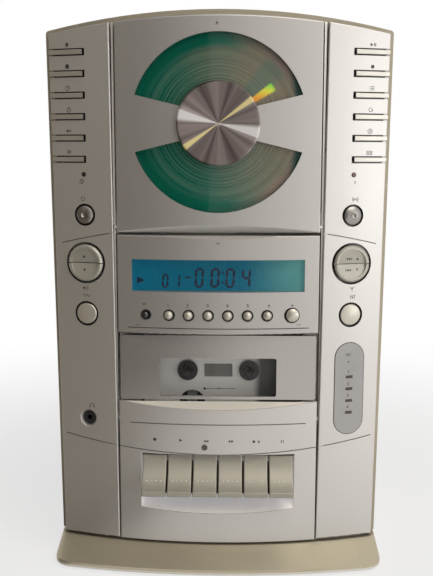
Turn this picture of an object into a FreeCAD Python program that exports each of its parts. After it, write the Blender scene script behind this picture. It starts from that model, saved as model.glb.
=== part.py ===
import FreeCAD, Part
import math
import os

Vector = FreeCAD.Vector

# Overall form in millimetres: a tower with a bowed front on a flared stand
stand_flare = -2.2
stand_depth = 190.0
stand_height = 16.0
foot_height = 2.0
wing_width = 41.3
wing_lean = 2.7
body_depth = 162.0
front_radius = 335.0
front_setback = 18.0
arch_radius = 640.0
crown_radius = 465.0
crown_rise = 4.8
front_drop = 1.8
mouth_depth = 24.5

# Walls, gaps and rounds shared by the mouldings
wall = 2.2
panel_gap = 1.0
seat_gap = 0.1
slide_gap = 0.3
turn_gap = 0.06
edge_round = 0.8
overrun = 6.0
groove_width = 0.7
groove_depth = 0.6

# Stand and feet
stand_rim = 4.0
stand_reveal = 2.0
stand_corner = 14.0
stand_bow = 480.0
stand_wall = 3.0
stand_rim_round = 1.4
neck_inset = 4.0
foot_radius = 8.0
foot_seat = 1.0
foot_inset = 26.0
foot_round = 0.7

# Cabinet shell and its back
cabinet_taper = 4.0
cabinet_wall = 2.5
cabinet_round = 2.2
cabinet_corner = 2.5
cabinet_rim = 2.8
ledge_width = 6.0
ledge_thick = 3.0
vent_count = 9
vent_pitch = 9.0
vent_height = 3.0
vent_side = 5.3
vent_rib = 8.0
vent_drop = 139.0
post_radius = 4.0
post_length = 18.0

# Chassis behind the front
cheek_wall = 1.4
cheek_setback = 0.6
chassis_thick = 3.0
chassis_bay_depth = 12.5
chassis_bay_rise = 10.6
chassis_bay_drop = 9.0
well_clear = 1.5
well_depth = 17.5
well_floor = 2.0
deck_lap = 10.0
deck_lap_low = 3.0
deck_lap_high = 5.0
key_mouth_side = 5.5
key_mouth_rise = 3.6
key_mouth_drop = 12.3
wiring_mouth_side = 11.5
wiring_mouth_rise = 14.5
wiring_mouth_drop = 11.4

# Disc drive
disc_margin = 10.6
disc_radius = 60.0
disc_bore = 7.5
disc_thick = 1.2
disc_depth = 14.0
table_radius = 14.5
table_thick = 1.5
table_hub_rise = 0.2
table_hub_taper = 0.8
motor_shaft = 1.0
motor_radius = 12.5
motor_length = 11.0
pickup_start = 24.5
pickup_travel = 32.0
pickup_half = 9.0
pickup_inner_reach = 10.5
pickup_outer_reach = 5.5
pickup_thick = 9.0
pickup_lens = 4.0
pickup_lens_gap = 0.8
rail_thick = 2.5
rail_lip = 2.0

# Disc door
door_side = 7.3
door_top = 10.0
door_gap = 2.0
door_depth = 19.0
door_bevel_depth = 7.2
door_bevel_rise = 5.0
door_top_round = 1.2
door_pin = 1.2
door_pin_depth = 10.0
door_pin_rise = 3.2
window_margin = 2.5
window_spoke = 5.0
window_spoke_angle = 13.75
window_lap = 2.5
window_thick = 1.5
hub_radius = 27.0
hub_seat_depth = 1.3
hub_proud = 2.2
hub_round = 0.8
hub_dish = 1.0
hub_backing = 25.0
hub_backing_depth = 4.2
clamp_radius = 13.0
clamp_gap = 0.4

# Display panel
display_gap = 1.7
display_height = 65.9
display_bevel_depth = 2.6
display_bevel_drop = 2.3
lcd_side = 9.8
lcd_rise = 28.5
lcd_height = 21.5
lcd_border = 2.2
lcd_depth = 7.8
lcd_thick = 5.0
preset_count = 6
preset_rise = 12.8
preset_pitch_share = 0.13404689
preset_radius = 2.9
preset_proud = 2.0
preset_sink = 4.1
memory_side = 8.0
memory_radius = 4.4
memory_proud = 1.4
memory_sink = 5.3
sensor_side = 8.9
sensor_radius = 2.6
sensor_proud = 1.6
sensor_sink = 3.8
sink_depth = 1.3
display_groove_rise = 4.0
display_groove_side = 6.8

# Push buttons: travel, and the flange that keeps each one in its hole
press_travel = 1.2
flange_lap = 1.2
flange_thick = 1.0
face_round = 0.5

# Side wings and their columns of controls
control_share = 0.44794189
slim_key_count = 6
slim_key_drop = 23.8
slim_key_pitch = 13.85
slim_key_height = 3.1
slim_key_gap = 0.8
slim_key_inner = 0.2
slim_key_proud = 1.0
slim_key_depth = 3.0
lamp_drop = 79.1
lamp_radius = 1.6
lamp_proud = 0.5
lamp_length = 5.0
power_drop = 26.8
power_radius = 5.9
power_hole = 7.45
power_dome = 1.6
power_dimple_ball = 2.4
power_dimple_depth = 1.0
rocker_drop = 32.2
rocker_radius = 12.3
rocker_hole = 14.0
rocker_proud = 1.6
rocker_thick = 3.6
rocker_dish_radius = 9.9
rocker_dish_depth = 1.7
rocker_step = 0.4
rocker_split = 0.7
rocker_pin = 1.1
rocker_pin_depth = 4.6
rocker_lug_thick = 1.8
rocker_lug_radius = 2.4
band_drop = 34.6
band_radius = 7.2
band_hole = 8.5
band_proud = 0.1
band_dome = 0.8
eq_drop = 51.1
eq_half_height = 32.2
eq_half_width = 10.7
eq_thick = 1.9
eq_proud = 0.3
eq_rim = 1.6
eq_backing = 1.6
eq_bar_count = 4
eq_bar_rise = 8.2
eq_bar_pitch = 8.3
eq_bar_half_width = 2.4
eq_bar_half_height = 0.9
eq_bar_length = 6.0
jack_drop = 22.0
jack_radius = 4.1
jack_sink = 6.2
jack_sink_depth = 1.5
jack_bore = 1.8
jack_length = 15.0
jack_end = 1.5
jack_flange = 1.2
seam_high_rise = 5.0
seam_high_radius = 430.0
seam_low_rise = 0.2
seam_low_radius = 570.0
seam_margin = 2.4

# Cassette door and holder
tape_gap = 1.4
tape_height = 44.2
tape_side = 1.3
tape_depth = 6.5
tape_thick = 2.5
tape_corner = 1.5
tape_window_side = 26.5
tape_window_rise = 2.0
tape_window_height = 26.5
tape_window_lap = 1.5
tape_window_thick = 1.5
holder_half = 50.9
holder_wall = 2.2
holder_back = 20.0
holder_drop = 35.8
holder_ledge = 13.0
holder_ledge_thick = 1.4
tape_pin = 2.0
tape_pin_depth = 12.0
tape_pin_rise = 4.6
tape_hub = 3.6
holder_neck_depth = 16.0
holder_neck_rise = 9.6
holder_neck_lap = 2.9

# Tape deck
deck_side = 7.1
deck_drop = 16.4
deck_rise = 1.2
deck_thick = 2.0
spindle_x = 21.25
spindle_rise = 16.6
spindle_flange = 7.0
spindle_flange_thick = 1.6
spindle_shaft = 2.6
spindle_tip_depth = 12.6
spindle_fin_reach = 3.9
spindle_fin_thick = 1.2
spindle_fin_length = 5.0
spindle_fin_count = 3
spindle_axle = 1.6
reel_radius = 13.0
reel_thick = 3.0
deck_clear = 0.4
peep_half = 9.8
peep_drop = 4.8
peep_height = 9.3
peep_depth = 0.8
capstan_x = -18.2
capstan_drop = 23.2
capstan_radius = 1.0
capstan_tip_depth = 13.0
capstan_mouth = 9.0
capstan_boss = 3.4
capstan_boss_length = 2.6
flywheel_radius = 18.0
flywheel_thick = 4.0
flywheel_rim = 3.0
flywheel_web = 1.6
bridge_half = 31.0
bridge_height = 11.0
bridge_drop = 0.4
bridge_thick = 2.0
bridge_lift = 6.0
head_half = 6.0
head_height = 8.0
head_depth = 13.0
head_nose = 1.6
guide_x = 24.0
guide_drop = 3.0
guide_radius = 1.5
roller_radius = 4.0
roller_drop = 4.5

# Key panel and its six piano keys
ledge_high = 98.2
ledge_drop = 4.9
ledge_depth = 6.4
panel_notch_drop = 22.2
panel_notch_depth = 9.2
panel_groove_drop = 14.7
panel_groove_side = 7.5
recess_side = 14.8
recess_drop = 35.9
recess_height = 41.9
recess_floor_angle = 37.0
recess_floor_depth = 13.0
recess_depth = 17.5
record_lamp_x = -8.9
record_lamp_rise = 5.3
record_lamp_radius = 1.9
piano_count = 6
piano_side = 0.75
piano_gap = 1.15
piano_drop = 1.7
piano_top_depth = 5.0
piano_height = 24.2
piano_lip_depth = -11.0
piano_lip_height = 3.4
piano_lip_thick = 3.0
piano_lip_round = 1.1
piano_curve = 2.6
piano_under_depth = 2.0
piano_under_rise = 5.0
piano_back_depth = 7.0
piano_back_drop = 7.6
piano_edge = 0.7
rod_radius = 1.5
rod_depth = 13.0
rod_drop = 3.0
rod_hub = 3.4

# Electronics and the rear sockets
board_side = 32.8
board_height = 175.0
board_drop = 29.0
board_thick = 1.6
board_post_inset = 8.0
capacitor_radius = 8.0
capacitor_length = 22.0
sink_half = 30.0
sink_fin_count = 6
sink_fin_thick = 1.6
sink_fin_length = 20.0
sink_height = 60.0
sink_base = 3.0
transformer_half = 32.0
transformer_depth = 44.0
transformer_height = 52.0
transformer_coil_lap = 9.0
transformer_coil_inset = 9.0
transformer_flange = 8.0
transformer_flange_thick = 2.0
transformer_setback = 26.0
socket_plate_side = 5.3
socket_plate_low = 26.0
socket_plate_high = 70.0
socket_plate_thick = 2.0
socket_lap = 3.0
socket_height = 48.0
socket_barrel = 4.2
socket_bore = 1.6
socket_length = 7.5
socket_bore_length = 9.0
socket_shoulder = 6.0
socket_shoulder_length = 1.0
speaker_x = 10.0
speaker_pitch = 18.0
aerial_x = -22.0
inlet_x = -46.0
inlet_half_width = 8.2
inlet_half_height = 4.3
inlet_depth = 12.0
inlet_wall = 1.8

# Widths across the front, worked out from the disc
centre_half = disc_radius + door_side
cheek_inner = centre_half + panel_gap
cheek_outer = cheek_inner + cheek_wall
wing_inner = cheek_outer + panel_gap
cabinet_high_half = wing_inner + wing_width + cabinet_rim
cabinet_low_half = cabinet_high_half - cabinet_taper
stand_width = 2 * (cabinet_high_half + stand_flare)
control_x = wing_inner + wing_width * control_share
control_angle = math.degrees(math.asin(control_x / front_radius))

# Key panel, from its ledge down
ledge_low = ledge_high - ledge_drop
panel_notch_low = ledge_high - panel_notch_drop
panel_groove_height = ledge_high - panel_groove_drop
panel_groove_half = centre_half - panel_groove_side
recess_half = centre_half - recess_side
recess_high = ledge_high - recess_drop
recess_floor = recess_high - recess_height
record_lamp_height = recess_high + record_lamp_rise
piano_pitch = 2 * (recess_half - piano_side) / piano_count
piano_width = piano_pitch - piano_gap
piano_top = recess_high - piano_drop
piano_low = piano_top - piano_height
piano_back_height = piano_top - piano_back_drop
rod_height = piano_top - rod_drop
key_mouth_half = recess_half - key_mouth_side
key_mouth_low = recess_floor + key_mouth_rise
key_mouth_high = recess_high - key_mouth_drop
seam_low = recess_high + seam_low_rise

# Cassette door and deck, from the ledge up
tape_low = ledge_high + tape_gap
tape_high = tape_low + tape_height
tape_half = centre_half - tape_side
tape_window_half = tape_half - tape_window_side
tape_window_low = tape_low + tape_window_rise
tape_window_high = tape_window_low + tape_window_height
spindle_height = tape_low + spindle_rise
holder_low = spindle_height - holder_drop
tape_pin_height = holder_low + tape_pin_rise
holder_neck_low = holder_low + holder_neck_rise
holder_neck_high = tape_low + holder_neck_lap
deck_half = holder_half + deck_side
deck_low = holder_low - deck_drop
deck_high = tape_high + deck_rise
deck_mouth_half = deck_half - deck_lap
deck_mouth_low = deck_low + deck_lap_low
deck_mouth_high = deck_high - deck_lap_high
peep_low = spindle_height - peep_drop
peep_high = peep_low + peep_height
capstan_height = spindle_height - capstan_drop
bridge_high = holder_low - bridge_drop
bridge_low = bridge_high - bridge_height
guide_height = bridge_high - guide_drop
roller_height = bridge_high - roller_drop

# Display panel, above the cassette door
display_low = tape_high + display_gap
display_high = display_low + display_height
display_groove_height = display_low + display_groove_rise
display_groove_half = centre_half - display_groove_side
lcd_half = centre_half - lcd_side
lcd_low = display_low + lcd_rise
lcd_high = lcd_low + lcd_height
preset_height = display_low + preset_rise
memory_x = lcd_half - memory_side
sensor_x = sensor_side - lcd_half
preset_pitch = (memory_x - sensor_x) * preset_pitch_share
wiring_mouth_half = lcd_half - wiring_mouth_side
wiring_mouth_low = display_low + wiring_mouth_rise
wiring_mouth_high = display_high - wiring_mouth_drop

# Disc door and drive, above the display
door_low = display_high + door_gap
disc_height = door_low + disc_margin + disc_radius
body_height = disc_height + disc_radius + door_top
door_pin_height = door_low + door_pin_rise
well_radius = disc_radius + well_clear
window_radius = disc_radius - window_margin
chassis_bay_low = door_low + chassis_bay_rise
seam_high = door_low + seam_high_rise

# Wing controls, from the top down
slim_key_top = body_height - slim_key_drop
lamp_height = slim_key_top - lamp_drop
power_height = lamp_height - power_drop
rocker_height = power_height - rocker_drop
band_height = rocker_height - band_drop
eq_height = band_height - eq_drop
eq_bar_top = eq_height + eq_bar_rise
jack_height = eq_height - jack_drop

# Board, vents and rear plate
board_half = cabinet_low_half - board_side
board_high = body_height - board_drop
board_low = board_high - board_height
vent_half = centre_half - vent_side
vent_low = body_height - vent_drop
socket_plate_half = centre_half - socket_plate_side

# The shared frame
body_bottom = foot_height + stand_height
body_top = body_bottom + body_height
front_y = front_setback - stand_depth / 2
mouth_y = front_y + mouth_depth
back_y = front_y + body_depth


def up(height):
    """Height above the floor of a height above the body's lower edge."""
    return body_bottom + height


def deep(depth):
    """Place along Y of a depth behind the middle of the bowed front."""
    return front_y + depth


def bow(x, inset=0):
    """Place along Y of the bowed front, or of a surface inset from it, at x."""
    radius = front_radius - inset
    return front_y + front_radius - math.sqrt(radius * radius - x * x)


def arch(x):
    """Height at x of the arch that the front follows."""
    return body_top - arch_radius + math.sqrt(arch_radius * arch_radius - x * x)


def cabinet_crown(x):
    """Height at x of the rounder top of the cabinet behind the front."""
    return body_top + crown_rise - crown_radius + math.sqrt(crown_radius * crown_radius - x * x)


def box(x0, x1, y0, y1, z0, z1):
    return Part.makeBox(x1 - x0, y1 - y0, z1 - z0, Vector(x0, y0, z0))


def rod_x(y, z, radius, x0, x1):
    return Part.makeCylinder(radius, x1 - x0, Vector(x0, y, z), Vector(1, 0, 0))


def rod_y(x, z, radius, y0, y1):
    return Part.makeCylinder(radius, y1 - y0, Vector(x, y0, z), Vector(0, 1, 0))


def rod_z(x, y, radius, z0, z1):
    return Part.makeCylinder(radius, z1 - z0, Vector(x, y, z0))


def flat(points):
    """Face inside a closed outline; a pair of points stands for an arc through the first to the second."""
    edges = []
    here = points[0]
    for step in points[1:] + points[:1]:
        end = step[1] if isinstance(step, tuple) else step
        if isinstance(step, tuple):
            edges.append(Part.Arc(here, step[0], end).toShape())
        elif (end - here).Length > 0:
            edges.append(Part.makeLine(here, end))
        here = end
    return Part.Face(Part.Wire(edges))


def placed_points(points, place):
    """Corners of an outline, where a pair of points stays a pair for an arc."""
    return [tuple(place(*end) for end in point) if isinstance(point[0], tuple) else place(*point)
            for point in points]


def side_view(points, x0, x1):
    """Prism along X from an outline of (y, z) points and arcs."""
    outline = flat(placed_points(points, lambda y, z: Vector(x0, y, z)))
    return outline.extrude(Vector(x1 - x0, 0, 0))


def front_view(points, y0, y1):
    """Prism along Y from an outline of (x, z) points."""
    outline = flat([Vector(x, y0, z) for x, z in points])
    return outline.extrude(Vector(0, y1 - y0, 0))


def turned(points):
    """Solid of revolution about Y from (radius, y) points and arcs."""
    outline = flat(placed_points(points, lambda radius, y: Vector(radius, y, 0)))
    return outline.revolve(Vector(0, 0, 0), Vector(0, 1, 0), 360)


def dome_arc(radius, rise, y):
    """Arc of a dome from its middle, which stands at y, out to its rim."""
    ball = (radius * radius + rise * rise) / (2 * rise)
    half = math.atan2(radius, ball - rise) / 2
    return (ball * math.sin(half), y + ball * (1 - math.cos(half))), (radius, y + rise)


def fused(*pieces):
    return pieces[0].multiFuse(pieces[1:]).removeSplitter()


def mirrored(shape):
    return shape.mirror(Vector(0, 0, 0), Vector(1, 0, 0))


def front(inset=0):
    """Upright cylinder whose near side is the bowed front, inset by a wall."""
    height = body_height + 2 * overrun
    return Part.makeCylinder(front_radius - inset, height,
                             Vector(0, front_y + front_radius, body_bottom - overrun))


def front_edges(shape):
    """Edges of a solid that lie on the bowed front."""
    axis = Vector(0, front_y + front_radius, 0)
    found = []
    for edge in shape.Edges:
        ends = [edge.valueAt(edge.FirstParameter), edge.valueAt(edge.LastParameter)]
        reach = [math.hypot(end.x - axis.x, end.y - axis.y) for end in ends]
        middle = edge.valueAt((edge.FirstParameter + edge.LastParameter) / 2)
        reach.append(math.hypot(middle.x - axis.x, middle.y - axis.y))
        if max(abs(value - front_radius) for value in reach) < seat_gap:
            found.append(edge)
    return found


def arched(left, right, low, drop, y0, y1, top=arch):
    """Prism along Y under an arched top; left and right each give x at the foot and at the top."""
    middle = (left[1] + right[1]) / 2
    outline = flat([
        Vector(left[0], y0, low),
        Vector(right[0], y0, low),
        Vector(right[1], y0, top(right[1]) - drop),
        (Vector(middle, y0, top(middle) - drop), Vector(left[1], y0, top(left[1]) - drop)),
    ])
    return outline.extrude(Vector(0, y1 - y0, 0))


def body_prism(inset, y0, y1, top=arch):
    """Whole outline of the body seen from the front, inset by a wall."""
    left = (inset - cabinet_low_half, inset - cabinet_high_half)
    right = (cabinet_low_half - inset, cabinet_high_half - inset)
    return arched(left, right, body_bottom + inset, inset, y0, y1, top)


def seam_groove(height, radius, hollow, x0, x1):
    """Cutter for a long arc scored into the front between two places along X."""
    centre = height - radius if hollow else height + radius
    outer = rod_y(0, centre, radius + groove_width / 2, front_y - overrun, mouth_y)
    inner = rod_y(0, centre, radius - groove_width / 2, front_y - overrun, mouth_y)
    half = box(x0, x1, front_y - overrun, mouth_y, up(0), up(body_height / 2))
    if hollow:
        half = box(x0, x1, front_y - overrun, mouth_y, up(body_height / 2), body_top)
    return outer.cut(inner).common(half).cut(front(groove_depth))


def straight_groove(half, z):
    """Cutter for a level line scored into the front."""
    strip = box(-half, half, front_y - overrun, mouth_y, z - groove_width / 2, z + groove_width / 2)
    return strip.cut(front(groove_depth))


def sink(x, z, mouth, hole, y):
    """Cutter for a hole along Y with a flared mouth of the given radius at the surface."""
    spread = mouth - hole
    flare = Part.makeCone(mouth + spread, hole, 2 * sink_depth, Vector(x, y - sink_depth, z),
                          Vector(0, 1, 0))
    return flare.fuse(rod_y(x, z, hole, y - overrun, mouth_y))


def plinth_wire(half, y0, y1, radius, corner, z):
    """Outline of the stand at one height: bowed front, straight sides and back, rounded corners."""
    shoulder = y0 + radius - math.sqrt(radius * radius - half * half)
    slab = flat([
        Vector(half, y1, z),
        Vector(-half, y1, z),
        Vector(-half, shoulder, z),
        (Vector(0, y0, z), Vector(half, shoulder, z)),
    ]).extrude(Vector(0, 0, overrun))
    upright = [edge for edge in slab.Edges if edge.BoundBox.ZLength > overrun / 2]
    slab = slab.makeFillet(corner, upright)
    lowest = [face for face in slab.Faces if face.BoundBox.ZMax < z + overrun / 2]
    return lowest[0].OuterWire


def foot_places():
    for side in (-1, 1):
        for end in (-1, 1):
            yield side * (stand_width / 2 - foot_inset), end * (stand_depth / 2 - foot_inset)


def base_stand():
    shelf = body_bottom - stand_reveal
    rim_top = foot_height + stand_rim
    low = plinth_wire(stand_width / 2, -stand_depth / 2, stand_depth / 2, stand_bow, stand_corner, rim_top)
    high = plinth_wire(cabinet_low_half, front_y, back_y, front_radius, stand_corner / 2, shelf)
    inset = neck_inset
    neck = plinth_wire(cabinet_low_half - inset, front_y + inset, back_y - inset, front_radius - inset,
                       stand_corner / 2, shelf)
    rim = Part.Face(low).extrude(Vector(0, 0, -stand_rim))
    lower = [edge for edge in rim.Edges if edge.BoundBox.ZMax < foot_height + seat_gap]
    rim = rim.makeFillet(stand_rim_round, lower)
    skirt = Part.makeLoft([low, high], True)
    stand = fused(rim, skirt, Part.Face(neck).extrude(Vector(0, 0, stand_reveal)))
    pocket = Part.Face(neck).extrude(Vector(0, 0, -stand_height))
    pocket.translate(Vector(0, 0, -stand_wall))
    hollowed = stand.cut(pocket)
    for x, y in foot_places():
        boss = rod_z(x, y, foot_radius + stand_wall, foot_height, shelf - stand_wall)
        seat = rod_z(x, y, foot_radius + seat_gap, foot_height - overrun, foot_height + foot_seat)
        hollowed = hollowed.fuse(boss.common(stand)).cut(seat)
    return hollowed.removeSplitter()


def rubber_feet():
    feet = []
    for x, y in foot_places():
        foot = rod_z(x, y, foot_radius, 0, foot_height + foot_seat)
        tread = [edge for edge in foot.Edges if edge.BoundBox.ZMax < foot_round]
        feet.append(foot.makeFillet(foot_round, tread))
    return Part.makeCompound(feet)


def rear_cabinet():
    shell = body_prism(0, mouth_y, back_y, cabinet_crown)
    upper = [edge for edge in shell.Edges if edge.BoundBox.YLength > wall
             and edge.BoundBox.ZMin > up(door_low)]
    shell = shell.makeFillet(cabinet_corner, upper)
    rear = [edge for edge in shell.Edges if edge.BoundBox.YMin > back_y - seat_gap]
    shell = shell.makeFillet(cabinet_round, rear)
    shell = shell.cut(body_prism(cabinet_wall, mouth_y - overrun, back_y - cabinet_wall))
    ledge_y = mouth_y + chassis_thick
    shell = shell.cut(body_prism(cabinet_wall, ledge_y + ledge_thick, back_y - cabinet_wall, cabinet_crown))
    ledge = body_prism(cabinet_wall, ledge_y, ledge_y + ledge_thick)
    ledge = ledge.cut(body_prism(cabinet_wall + ledge_width, ledge_y - overrun,
                                 ledge_y + ledge_thick + overrun))
    shell = shell.fuse(ledge)
    for x, z in board_posts():
        shell = shell.fuse(rod_y(x, z, post_radius, back_y - cabinet_wall - post_length,
                                 back_y - cabinet_wall))
    cuts = [box(
        -socket_plate_half + socket_lap, socket_plate_half - socket_lap,
        back_y - cabinet_wall - overrun, back_y + overrun,
        up(socket_plate_low + socket_lap), up(socket_plate_high - socket_lap),
    )]
    for row in range(vent_count):
        z = up(vent_low) + row * vent_pitch
        for side in (-1, 1):
            ends = sorted((side * vent_rib / 2, side * vent_half))
            cuts.append(box(ends[0], ends[1], back_y - cabinet_wall - overrun, back_y + overrun, z,
                            z + vent_height))
    return shell.cut(cuts).removeSplitter()


def board_posts():
    for x in (-board_half + board_post_inset, board_half - board_post_inset):
        for z in (up(board_low) + board_post_inset, up(board_high) - board_post_inset):
            yield x, z


def well_back():
    return deep(well_depth + well_floor)


def front_chassis():
    inset = cabinet_wall + slide_gap
    plate = body_prism(inset, mouth_y, mouth_y + chassis_thick)
    bay_half = centre_half - wall - slide_gap
    bay_top = arch(bay_half) - chassis_bay_drop
    bay = box(-bay_half, bay_half, deep(chassis_bay_depth), mouth_y + chassis_thick,
              up(chassis_bay_low), bay_top)
    chassis = plate.fuse(bay)
    inner = bay_half - wall
    hollow = box(-inner, inner, well_back(), mouth_y + overrun, up(chassis_bay_low) + wall, bay_top - wall)
    well = rod_y(0, up(disc_height), well_radius, deep(chassis_bay_depth) - overrun, deep(well_depth))
    chassis = chassis.cut([hollow, well])
    motor = rod_y(0, up(disc_height), motor_radius, well_back(), well_back() + motor_length)
    for side in (-1, 1):
        chassis = chassis.fuse(pickup_rail(side))
    slot = box(
        pickup_start - pickup_lens - slide_gap, pickup_start + pickup_travel + pickup_lens + slide_gap,
        deep(well_depth) - overrun, well_back() + overrun / 2,
        up(disc_height) - pickup_lens - slide_gap, up(disc_height) + pickup_lens + slide_gap,
    )
    bearing = rod_y(0, up(disc_height), motor_shaft + turn_gap, deep(well_depth) - overrun,
                    well_back() + motor_length - wall)
    chassis = chassis.cut(slot).fuse(motor).cut(bearing)
    for side in (-1, 1):
        chassis = chassis.fuse(cheek(side))
    return chassis.cut(chassis_mouths()).removeSplitter()


def pickup_rail(side):
    """Lipped rail behind the disc well that one edge of the pickup slides in."""
    near = up(disc_height) + side * (pickup_half + slide_gap)
    far = near + side * rail_thick
    lip = near - side * rail_lip
    x0 = pickup_start - pickup_inner_reach
    x1 = centre_half - wall - slide_gap - wall
    y0 = well_back()
    y1 = y0 + slide_gap + pickup_thick + slide_gap + rail_thick
    web = box(x0, x1, y0, y1, min(near, far), max(near, far))
    hook = box(x0, x1, y1 - rail_thick, y1, min(lip, far), max(lip, far))
    return web.fuse(hook)


def cheek(side):
    """Thin side wall that stands in the gap between a wing and the doors, with the hinge bores."""
    x0, x1 = sorted((side * cheek_inner, side * cheek_outer))
    z1 = arch(cheek_outer) - front_drop
    sheet = box(x0, x1, front_y, mouth_y, up(0), z1).common(front(wall + cheek_setback))
    upper = rod_x(deep(door_pin_depth), up(door_pin_height), door_pin + turn_gap, x0 - overrun,
                  x1 + overrun)
    lower = rod_x(deep(tape_pin_depth), up(tape_pin_height), tape_pin + turn_gap, x0 - overrun,
                  x1 + overrun)
    return sheet.cut([upper, lower])


def chassis_mouths():
    """Openings in the chassis plate for the tape mechanism, the key levers, wiring and the jack."""
    y0 = mouth_y - seat_gap
    y1 = mouth_y + chassis_thick + overrun
    deck = box(-deck_mouth_half, deck_mouth_half, y0, y1, up(deck_mouth_low), up(deck_mouth_high))
    keys = box(-key_mouth_half, key_mouth_half, y0, y1, up(key_mouth_low), up(key_mouth_high))
    wires = box(-wiring_mouth_half, wiring_mouth_half, y0, y1, up(wiring_mouth_low), up(wiring_mouth_high))
    jack = on_left(rod_y(0, up(jack_height), jack_radius + jack_flange + panel_gap, wall,
                         mouth_depth + overrun))
    return [deck, keys, wires, jack]


def on_right(shape):
    """Shape made on the upright column of controls, facing -Y, set on the right wing's bowed face."""
    placed = shape.copy()
    placed.rotate(Vector(0, 0, 0), Vector(0, 0, 1), control_angle)
    placed.translate(Vector(control_x, bow(control_x), 0))
    return placed


def on_left(shape):
    return mirrored(on_right(shape))


def wing_prism(inset, y0, y1):
    """Outline of the right wing seen from the front, inset by a wall."""
    low = cabinet_low_half - cabinet_rim - inset
    high = cabinet_high_half - cabinet_rim - inset
    foot = wing_inner + inset if inset else wing_inner - wing_lean
    return arched((foot, wing_inner + inset), (low, high), body_bottom + inset, front_drop + inset, y0, y1)


def slim_key_heights():
    return [up(slim_key_top) - index * slim_key_pitch for index in range(slim_key_count)]


def slim_key_block(z, grow, depth):
    """Block of one slim key on the right wing, running out past the wing's side."""
    half = slim_key_height / 2 + grow
    return on_right(box(-slim_key_inner - 2 * grow, control_x, -overrun, depth, z - half, z + half))


def wing_shell():
    """Right wing moulding with the openings and grooves that both wings have."""
    shell = wing_prism(0, front_y - overrun, mouth_y).common(front())
    shell = shell.makeFillet(edge_round, front_edges(shell))
    shell = shell.cut(wing_prism(wall, front_y - overrun, mouth_y + overrun).common(front(wall)))
    lap = box(0, wing_inner, front_y, mouth_y + overrun, up(0) - overrun, body_top)
    shell = shell.cut(lap.common(front(wall)))
    for side in (-1, 1):
        shell = shell.fuse(on_right(rocker_lug(side)))
    holes = [on_right(rod_y(0, up(power_height), power_hole, -overrun, wall + overrun))]
    holes.append(on_right(rod_y(0, up(rocker_height), rocker_hole, -overrun, wall + slide_gap)))
    bore = rocker_reach() + seat_gap
    holes.append(on_right(rod_x(rocker_pin_depth, up(rocker_height), rocker_pin + turn_gap, -bore, bore)))
    holes.append(on_right(rod_y(0, up(band_height), band_hole, -overrun, wall + overrun)))
    holes.append(on_right(rod_y(0, up(lamp_height), lamp_radius + seat_gap, -overrun, wall + overrun)))
    for z in slim_key_heights():
        holes.append(slim_key_block(z, slim_key_gap, slim_key_depth + press_travel + slide_gap))
    outer = cabinet_low_half - cabinet_rim - seam_margin
    holes.append(seam_groove(up(seam_high), seam_high_radius, True, wing_inner - overrun, outer))
    holes.append(seam_groove(up(seam_low), seam_low_radius, False, wing_inner - overrun, outer))
    return shell.cut(holes)


def rocker_lug(side):
    """Lug behind the wing that carries one end of the rocker's pivot."""
    near = rocker_hole + slide_gap
    x0, x1 = sorted((side * near, side * (near + rocker_lug_thick)))
    z = up(rocker_height)
    lug = rod_x(rocker_pin_depth, z, rocker_lug_radius, x0, x1)
    return lug.fuse(box(x0, x1, wall / 2, rocker_pin_depth, z - rocker_lug_radius, z + rocker_lug_radius))


def rocker_reach():
    """Half the length of the rocker's pivot pin."""
    return rocker_hole + slide_gap + rocker_lug_thick


def stadium(half_width, half_height, y0, y1, z):
    """Upright slot with round ends, as a prism along Y."""
    reach = half_height - half_width
    bar = box(-half_width, half_width, y0, y1, z - reach, z + reach)
    return bar.fuse([rod_y(0, z - reach, half_width, y0, y1), rod_y(0, z + reach, half_width, y0, y1)])


def eq_bars(grow, y0, y1):
    for index in range(eq_bar_count):
        z = up(eq_bar_top) - index * eq_bar_pitch
        half = eq_bar_half_height + grow
        wide = eq_bar_half_width + grow
        yield box(-wide, wide, y0, y1, z - half, z + half)


def right_wing():
    pocket_depth = eq_thick - eq_proud
    backing = stadium(eq_half_width + eq_rim, eq_half_height + eq_rim, wall / 2,
                      pocket_depth + eq_backing, up(eq_height))
    pocket = stadium(eq_half_width + seat_gap, eq_half_height + seat_gap, -overrun, pocket_depth,
                     up(eq_height))
    wing = wing_shell().fuse(on_right(backing)).cut(on_right(pocket))
    bars = [on_right(bar) for bar in eq_bars(seat_gap, -overrun, overrun)]
    return wing.cut(bars).removeSplitter()


def left_wing():
    spread = jack_sink - jack_radius
    place = Vector(0, -jack_sink_depth, up(jack_height))
    flare = Part.makeCone(jack_sink + spread, jack_radius, 2 * jack_sink_depth, place, Vector(0, 1, 0))
    hole = rod_y(0, up(jack_height), jack_radius + seat_gap, -overrun, wall + overrun)
    return mirrored(wing_shell().cut([on_right(flare), on_right(hole)]).removeSplitter())


def equalizer_window():
    plate = stadium(eq_half_width, eq_half_height, -eq_proud, eq_thick - eq_proud, up(eq_height))
    rim = [edge for edge in plate.Edges if edge.BoundBox.YMax < seat_gap - eq_proud]
    plate = plate.makeFillet(eq_proud, rim)
    return on_right(plate.cut(list(eq_bars(seat_gap, -overrun, overrun))))


def headphone_jack():
    back = wall + seat_gap
    body = turned([
        (jack_bore, jack_sink_depth), (jack_radius, jack_sink_depth), (jack_radius, back),
        (jack_radius + jack_flange, back), (jack_radius + jack_flange, jack_length + jack_end),
        (0, jack_length + jack_end), (0, jack_length), (jack_bore, jack_length),
    ])
    body.translate(Vector(0, 0, up(jack_height)))
    return on_left(body)


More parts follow.
